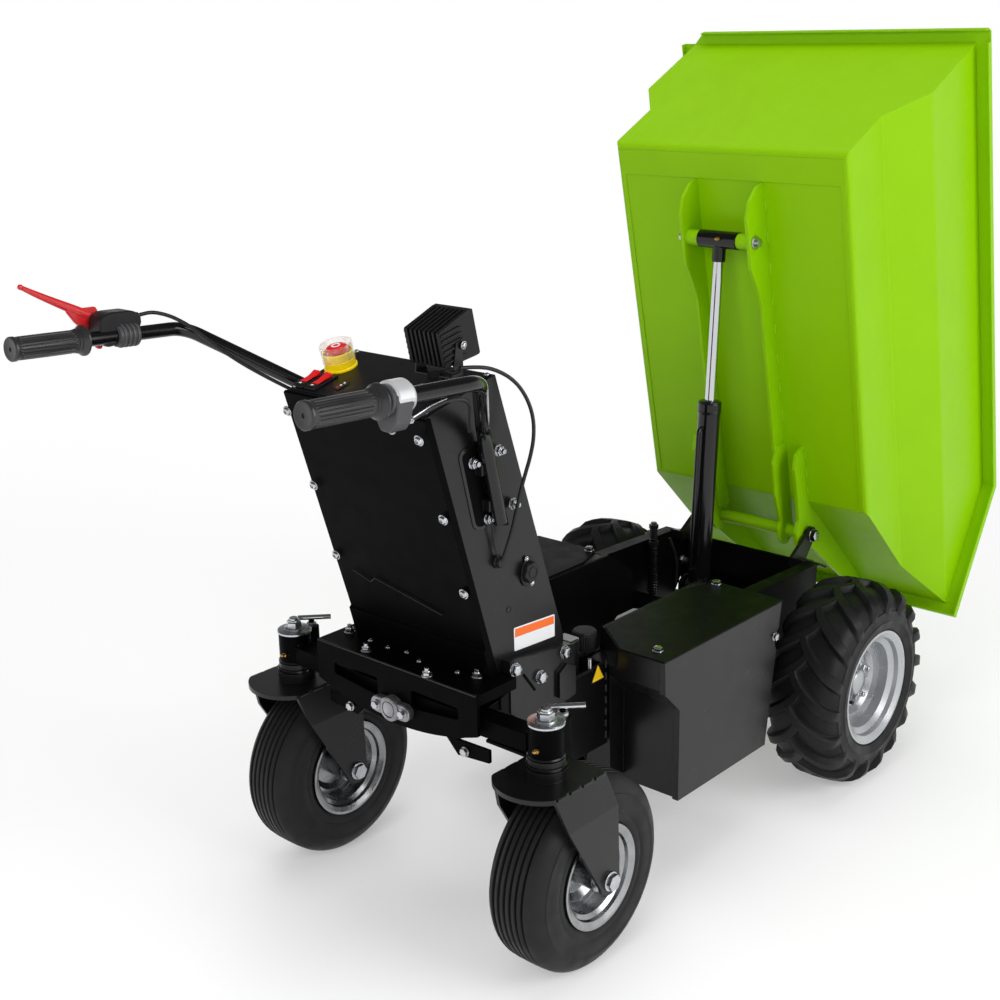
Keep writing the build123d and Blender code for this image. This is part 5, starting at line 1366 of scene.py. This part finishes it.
@dataclass
class Throttle:
    """Twist throttle: bright cast cover over a dark body, with its cable adjuster."""

    bar: Handlebar
    start: float = -820.0
    body: Outline = ((-21, 9), (21, 9), (22, -6), (18, -26), (10, -40), (-8, -41), (-18, -28), (-22, -8))
    body_span: Pair = (2.0, 30.0)
    collars: Stages = (
        (40, ((19, -4), (20.5, -2.5), (20.5, 1.5), (19.5, 3))),
        (40, ((18.5, 29), (18.5, 36), (16.5, 40), (13, 44), (11.2, 44.4))),
    )
    cover_radius: float = 23.2
    cover_lift: float = 1.0
    cover_steps: int = 14
    cover_turn: float = 0.12
    cover_foot: tuple[Outline, Outline] = (((23.5, 4),), ((-23.5, 3), (-21, -3), (21, -2)))
    cover_span: Pair = (4.0, 34.0)
    cover_end: Profile = ((20.4, 33), (19.2, 38), (15.5, 41.5), (11.2, 42))
    adjuster_start: float = 34.0            # along the tube, from the start
    adjuster_at: Point = (-1, -31, 0)
    adjuster: Profile = ((5.5, -4), (5.5, 3), (4, 4), (4, 9), (5, 9.5), (5, 13), (2, 14))
    wire: tuple[Point, ...] = ((-1, -31, 8), (-4, -24, 24), (-3, -17, 48), (-1, -13, 76))
    wire_radius: float = 1.1
    screw_at: Point = (6, -44, -14)
    screw_normal: Point = (0.1, 0, -1)

    def build(self) -> None:
        """Build the body, the cover, the adjuster with its screw, and the bare inner wire."""
        place = self.bar.at(self.start)
        piece = Piece("throttle_case")
        piece.prism(rounded(self.body, radius=5), place, *self.body_span, GREY_CAST, soft=1.6)
        piece.stack(self.collars, place, GREY_CAST)
        piece.build("chassis", ["throttle_housing"])

        cover = Piece("throttle_cover")
        turns = [pi * (0.5 + i) / self.cover_steps - self.cover_turn for i in range(self.cover_steps)]
        shell = [(self.cover_radius * cos(a), self.cover_radius * sin(a) + self.cover_lift) for a in turns]
        front, back = self.cover_foot
        cover.prism([*front, *shell, *back], place, *self.cover_span, SILVER_CAST, soft=2.6)
        cover.turned(self.cover_end, place, SILVER_CAST, steps=40)
        cover.build("chassis")

        piece = Piece("throttle_adjuster")
        tip = self.bar.at(self.start + self.adjuster_start)
        piece.turned(self.adjuster, tip @ Matrix.Translation(self.adjuster_at), ZINC, steps=6)
        piece.pipe(spline([tip @ Vector(p) for p in self.wire]), self.wire_radius, ZINC, sides=8)
        piece.bolt(tip @ Vector(self.screw_at), self.screw_normal, thread=4, kind=BoltHead.DOME)
        piece.build("chassis")


@dataclass
class Brake:
    """Brake lever and its moulded clamp on the left-hand tube."""

    bar: Handlebar
    ring_starts: tuple[float, ...] = (-768.0, -760.0, -752.0, -744.0)
    ring: Profile = ((12, 0), (18.2, 0.4), (18.6, 1.2), (18.6, 4.4), (18.2, 5.2), (12, 5.6))
    sleeve_start: float = -774.0
    sleeve: Profile = ((11.4, 0), (16.4, 0.6), (16.4, 35), (11.4, 36))
    housing_off: float = 27.0               # from the tube's axis
    housing: Outline = (
        (-803, 1012), (-800, 1036), (-784, 1042), (-744, 1040), (-728, 1032), (-727, 1016), (-742, 1006),
        (-764, 992), (-792, 990), (-802, 998),
    )
    housing_depth: float = 33.0
    rear_plate: Outline = ((-796, 998), (-794, 1031), (-768, 1035), (-762, 1026), (-764, 1000))
    front_plate: Outline = ((-757, 1014), (-756, 1034), (-742, 1034), (-733, 1028), (-733, 1018))
    plate_levels: Pair = (-1.0, 0.5)
    outlet_at: Point = (-738, 323, 1028)
    outlet_way: Point = (1, 0, 0.06)
    outlet: Profile = ((6, 0), (6, 6), (4.4, 7), (4.4, 13))
    screw_at: Point = (-752, 343, 1014)
    blade: tuple[Point, ...] = ((-796, 345, 1034), (-824, 345.5, 1049.5), (-852, 346, 1064),
                                (-882, 346, 1080), (-905, 346, 1093))
    blade_half: tuple[Pair, Pair] = ((8.5, 4.4), (3.5, 3.2))    # height and width, at root and tip
    blade_up: Point = (-0.42, 0, -0.9)
    tip: Profile = ((1, -4.4), (3.4, -3), (4.4, 0), (3.4, 3), (1, 4.4))
    tip_way: Point = (-0.9, 0, 0.42)
    hook: Outline = (
        (-812, 1049), (-784, 1048), (-779, 1036), (-785, 1016), (-777, 992), (-779, 982), (-788, 983),
        (-803, 1010), (-822, 1028), (-836, 1048), (-828, 1058),
    )
    hook_y: float = 349.0
    hook_depth: float = 6.4
    pivot: Pair = (-797.0, 1034.0)
    pivot_nut: Profile = ((8.5, 0), (8.5, 2), (6, 2.6))

    def clamp(self) -> None:
        """Build the clamp's rings and sleeve, and the housing with its plates and cable outlet."""
        piece = Piece("brake_clamp")
        for x in self.ring_starts:
            piece.turned(self.ring, self.bar.at(x), GREY_CAST, steps=40)
        piece.turned(self.sleeve, self.bar.at(self.sleeve_start), GREY_CAST, steps=40)
        plane = side_plane(self.bar.y + self.housing_off)
        piece.prism(rounded(self.housing, radius=6), plane, 0, self.housing_depth, PLASTIC, soft=2.4)
        for plate, radius, bevel in ((self.rear_plate, 5, 1.4), (self.front_plate, 4, 1.2)):
            piece.prism(rounded(plate, radius), plane, *self.plate_levels, GREY_CAST, bevel)
        piece.turned(self.outlet, placing(self.outlet_at, self.outlet_way), PLASTIC, steps=20)
        piece.bolt(self.screw_at, Side.LEFT.out, thread=4, kind=BoltHead.DOME)
        piece.build("chassis", ["brake_mount"])

    def lever(self) -> None:
        """Build the tapering red blade with its hooked root, and the nut on its pivot."""
        piece = Piece("brake_blade")
        line = spline(self.blade, 5)
        (tall, thick), (tip_tall, tip_thick) = self.blade_half
        rings = []
        for i, point in enumerate(line):
            share = i / (len(line) - 1)
            high, wide = tall - (tall - tip_tall) * share, thick - (thick - tip_thick) * share
            rings.append([point + Vector(self.blade_up) * high * s + Vector((0, wide * c, 0))
                          for c, s in around(12)])
        piece.rows(rings, RED_COAT)
        piece.turned(self.tip, placing(line[-1], self.tip_way), RED_COAT, steps=16)
        hook = rounded(self.hook, radius=4)
        piece.prism(hook, side_plane(self.hook_y), 0, self.hook_depth, RED_COAT, soft=1.6)
        pivot = placing((self.pivot[0], self.hook_y, self.pivot[1]), Side.LEFT.out)
        piece.turned(self.pivot_nut, pivot, ZINC, steps=6)
        piece.build("chassis", ["brake_lever"])

    def build(self) -> None:
        """Build the clamp and the lever."""
        self.clamp()
        self.lever()


# ------------------------------------------------------------------ leads
@dataclass
class Leads:
    """Lamp lead hanging beside the console, and the thin lead from the handle plate to the gland."""

    diameter: float = 6.0
    route: tuple[Point, ...] = (
        (-498, -140, 967), (-466, -153, 966), (-433, -162, 953), (-410, -172, 934), (-396, -181, 908),
        (-393, -190, 880), (-398, -195, 850), (-405, -193, 820), (-408, -184, 790), (-409, -175, 760),
        (-413, -170, 730), (-420, -168, 704), (-430, -167, 682), (-436, -165, 666), (-438, -161, 656),
    )
    thin_route: tuple[Point, ...] = ((-456, -158, 722), (-452, -157, 704), (-449, -156, 688),
                                     (-446, -157, 672), (-440, -158, 660))
    thin_radius: float = 1.4
    tail: tuple[Point, ...] = ((-505, -118, 962), (-500, -126, 958), (-497, -136, 962), (-498, -141, 967))
    tail_radius: float = 3.0

    def lamp_lead(self) -> None:
        data = bpy.data.curves.new("lamp_cord", "CURVE")
        data.dimensions = "3D"
        data.bevel_depth = self.diameter / 2 * MM
        data.bevel_resolution = 4
        data.resolution_u = 12
        line = data.splines.new("NURBS")
        line.points.add(len(self.route) - 1)
        for point, spot in zip(line.points, self.route):
            point.co = (*(c * MM for c in spot), 1.0)
        line.order_u = 3
        line.use_endpoint_u = True
        data.materials.append(SHEATH.material())
        cord = bpy.data.objects.new("lamp_cord", data)
        bpy.context.scene.collection.objects.link(cord)
        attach(cord, "chassis")
        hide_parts("lamp_lead")

    def build(self) -> None:
        """Build both leads, and the lamp lead's tail behind its exit."""
        self.lamp_lead()
        piece = Piece("thin_leads")
        piece.pipe(spline(self.thin_route), self.thin_radius, SHEATH, sides=8)
        piece.pipe(spline(self.tail), self.tail_radius, SHEATH)
        piece.build("chassis")


# ------------------------------------------------------------------ bed, hinge and cylinder
@dataclass
class Bed:
    """Weld beads on the tipped bed's ribs and ears, and the rings of its hinge tubes."""

    pivot: Pair = (543.0, 434.0)
    back: float = 796.0
    rise: float = 18.0
    tip: float = 78.0
    rib_off: float = 79.0
    rib_starts: range = range(96, 590, 62)
    rib_length: float = 24.0
    ear_off: float = 126.0
    ear_starts: range = range(612, 730, 40)
    ear_length: float = 22.0
    stitch_size: float = 2.6
    ring_offs: Pair = (84.6, 116.4)
    ring: Profile = ((13, -1.6), (15.2, 0), (13, 1.6))

    def at(self, s: float, y: float, h: float) -> Vector:
        """Point of the tipped bed: s forward from the floor's rear edge, h above the floor."""
        a = radians(self.tip)
        x, z = s - self.back, h + self.rise
        return Vector((self.pivot[0] + x * cos(a) + z * sin(a), y, self.pivot[1] - x * sin(a) + z * cos(a)))

    def build(self) -> None:
        """Build the stitches along the ribs and the ears, and the hinge tubes' rings."""
        piece = Piece("bed_welds")
        for side in Side:
            for starts, length, off in ((self.rib_starts, self.rib_length, self.rib_off),
                                        (self.ear_starts, self.ear_length, self.ear_off)):
                y = side.value * off
                piece.stitches(starts, length, lambda s: self.at(s, y, -1), self.stitch_size, GREEN)
            for y in self.ring_offs:
                ring = placing(self.at(self.back, side.value * y, -self.rise), side.out)
                piece.turned(self.ring, ring, GREEN, steps=28, caps=False)
        piece.build("bed")


@dataclass
class Hinge:
    """Bolts at the ends of the bed's hinge, and the welds of its brackets."""

    pivot: Pair = (543.0, 434.0)
    face: float = 139.0
    seam: tuple[Point, Point] = ((478, 135, 404), (512, 135, 394))
    seam_size: float = 3.0

    def build(self) -> None:
        """Build the hinge bolts and welds."""
        piece = Piece("hinge_bolts")
        for side in Side:
            piece.bolt(side.at(self.pivot[0], self.face, self.pivot[1]), side.out, thread=13)
            piece.weld(*(side.at(*p) for p in self.seam), self.seam_size, BLACK)
        piece.build("chassis")


@dataclass
class Cylinder:
    """Gland nut and grease nipple of the tipping cylinder."""

    foot: Point = (340.0, 0.0, 345.0)
    eye: Point = (385.61, 0.0, 1044.62)
    barrel: float = 388.0
    gland: Profile = (
        (22.6, -26), (23.4, -24), (23.4, -4), (22, -2), (16, -0.6), (12.5, -0.2), (12.4, 0.4), (10.7, 0.5),
    )
    gland_beads: Pair = (-22.5, -5.0)
    bead: Profile = ((23.2, 0), (24, 0.8), (23.2, 1.6))
    nipple_off: Point = (-16.5, -8, 4)      # from the eye's middle
    nipple_way: Point = (-1, 0, 0.1)
    nipple: Profile = ((3.8, 0), (3.8, 4), (2.4, 5), (2.4, 8), (3.1, 9.6), (1.2, 11))

    def build(self) -> None:
        """Build the gland nut on the barrel and the grease nipple on the eye."""
        way = (Vector(self.eye) - Vector(self.foot)).normalized()
        end = placing(Vector(self.foot) + way * self.barrel, way)
        piece = Piece("gland_nut")
        piece.turned(self.gland, end, BLACK_SMOOTH, steps=48, caps=False)
        for start in self.gland_beads:
            piece.turned([(r, start + h) for r, h in self.bead], end, BLACK_SMOOTH, steps=48, caps=False)
        piece.build("cylinder")
        top = Piece("eye_nipple")
        spot = Vector(self.eye) + Vector(self.nipple_off)
        top.turned(self.nipple, placing(spot, self.nipple_way), BRASS, steps=12)
        top.build("rod")


# ------------------------------------------------------------------ stage
@dataclass
class SoftLamp:
    """Square area lamp of the studio, in metres and watts."""

    name: str
    at: Point
    aim: Point
    size: float
    power: float
    mirrored: bool = False              # whether shiny faces show it

    def hang(self) -> None:
        """Put the lamp into the scene, turned to its aim."""
        data = bpy.data.lights.new(self.name, "AREA")
        data.shape = "SQUARE"
        data.size = self.size
        data.energy = self.power
        lamp = bpy.data.objects.new(self.name, data)
        lamp.visible_glossy = self.mirrored
        lamp.location = self.at
        lamp.rotation_euler = (Vector(self.aim) - Vector(self.at)).to_track_quat("-Z", "Y").to_euler()
        bpy.context.scene.collection.objects.link(lamp)


@dataclass
class Studio:
    """Pale floor, soft lamps, white surroundings and the camera; lengths in metres."""

    camera_at: Point = (-2.06175, -1.61669, 1.43802)
    camera_turn: Point = (72.5998, 0.9855, -48.4105)
    lens: float = 54.137
    sensor: float = 36.0
    floor_half: float = 15.0
    floor_grey: float = 0.9
    fade: Pair = (1.4, 3.6)             # where the floor's fading to white starts and ends
    near_white: float = 0.3             # share of white within that
    fill: float = 0.42                  # the surroundings' strength as a light
    horizon: Pair = (0.12, 0.4)         # directions' heights between which the ceiling darkens
    ceiling: float = 0.1
    soft_lamps: tuple[SoftLamp, ...] = (
        SoftLamp("key", (0.6, -4.2, 2.6), (0.1, 0.0, 0.6), 3.2, 136.0, mirrored=True),
        SoftLamp("rear", (-3.6, -1.0, 2.2), (0.0, 0.0, 0.5), 2.2, 72.0),
        SoftLamp("top", (0.2, 0.4, 4.6), (0.0, 0.0, 0.4), 3.4, 72.0),
        SoftLamp("far", (2.6, 3.6, 2.4), (0.0, 0.0, 0.5), 2.6, 60.0),
    )

    def camera(self) -> None:
        """Place the camera and make it the scene's own."""
        data = bpy.data.cameras.new("camera")
        data.lens = self.lens
        data.sensor_width = self.sensor
        data.clip_end = 100.0
        camera = bpy.data.objects.new("camera", data)
        camera.location = self.camera_at
        camera.rotation_euler = Euler([radians(a) for a in self.camera_turn], "XYZ")
        bpy.context.scene.collection.objects.link(camera)
        bpy.context.scene.camera = camera

    def floor(self) -> None:
        """Lay a pale floor that keeps the shadow near the machine and fades to white far away."""
        half, grey = self.floor_half, self.floor_grey
        mesh = bpy.data.meshes.new("floor")
        mesh.from_pydata([(x, y, 0) for x, y in block(-half, -half, half, half)], [], [(0, 1, 2, 3)])
        floor = bpy.data.objects.new("floor", mesh)
        bpy.context.scene.collection.objects.link(floor)
        material = bpy.data.materials.new("pale_floor")
        material.use_nodes = True
        material.node_tree.nodes.clear()
        wiring = Wiring(material.node_tree)
        matt = wiring.node("BsdfDiffuse", {"Color": (grey, grey, grey, 1)})
        reach = wiring.node("VectorMath", operation="LENGTH")
        wiring.link(wiring.node("TexCoord").outputs["Object"], reach.inputs[0])
        fade = wiring.node("MapRange", {"From Min": self.fade[0], "From Max": self.fade[1],
                                        "To Min": self.near_white, "To Max": 1.0})
        wiring.link(reach.outputs["Value"], fade.inputs["Value"])
        white = wiring.math("MULTIPLY", fade.outputs["Result"], wiring.seen())
        glow = wiring.node("Emission")
        wiring.choose(white, matt.outputs["BSDF"], glow.outputs["Emission"], "OutputMaterial")
        mesh.materials.append(material)

    def surroundings(self) -> None:
        """White world to the eye and in reflections up to the studio's dim ceiling, dimmer as a light."""
        world = bpy.data.worlds.new("studio")
        bpy.context.scene.world = world
        world.use_nodes = True
        world.node_tree.nodes.clear()
        wiring = Wiring(world.node_tree)
        lit = wiring.node("Background", {"Color": (1, 1, 1, 1), "Strength": self.fill})
        looked = wiring.node("Background", {"Strength": 1.0})
        parts = wiring.node("SeparateXYZ")
        wiring.link(wiring.node("TexCoord").outputs["Generated"], parts.inputs["Vector"])
        dim = wiring.node("MapRange", {"From Min": self.horizon[0], "From Max": self.horizon[1],
                                       "To Min": 1.0, "To Max": self.ceiling},
                          interpolation_type="SMOOTHSTEP")
        wiring.link(parts.outputs["Z"], dim.inputs["Value"])
        straight = wiring.node("LightPath").outputs["Is Camera Ray"]
        wiring.link(wiring.math("MAXIMUM", dim.outputs["Result"], straight), looked.inputs["Color"])
        wiring.choose(wiring.seen(), lit.outputs["Background"], looked.outputs["Background"], "OutputWorld")

    def build(self) -> None:
        """Set up the whole studio."""
        bpy.context.scene.view_settings.view_transform = "Standard"
        self.camera()
        self.floor()
        self.surroundings()
        for lamp in self.soft_lamps:
            lamp.hang()


def main() -> None:
    """Build the studio and dress the machine, one sub-assembly after another."""
    logging.basicConfig(level=logging.INFO, format="%(name)s: %(message)s")
    Studio().build()
    dress_frame()
    LOG.info("dressed %d nodes", len(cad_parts))
    wheels = [kind(side) for side in Side for kind in (DriveWheel, CasterWheel, Fork)]
    left, right = (Handlebar(side) for side in Side)
    for part in (*wheels, AxleBeam(), RearDeck(), MainFrame(), BatteryBoxes(), MiddleBay(), Console(),
                 ControlPanel(), WorkLamp(), left, right, Throttle(right), Brake(left), Leads(), Bed(),
                 Hinge(), Cylinder()):
        part.build()
        LOG.info("built %s", type(part).__name__)


if __name__ == "__main__":
    main()
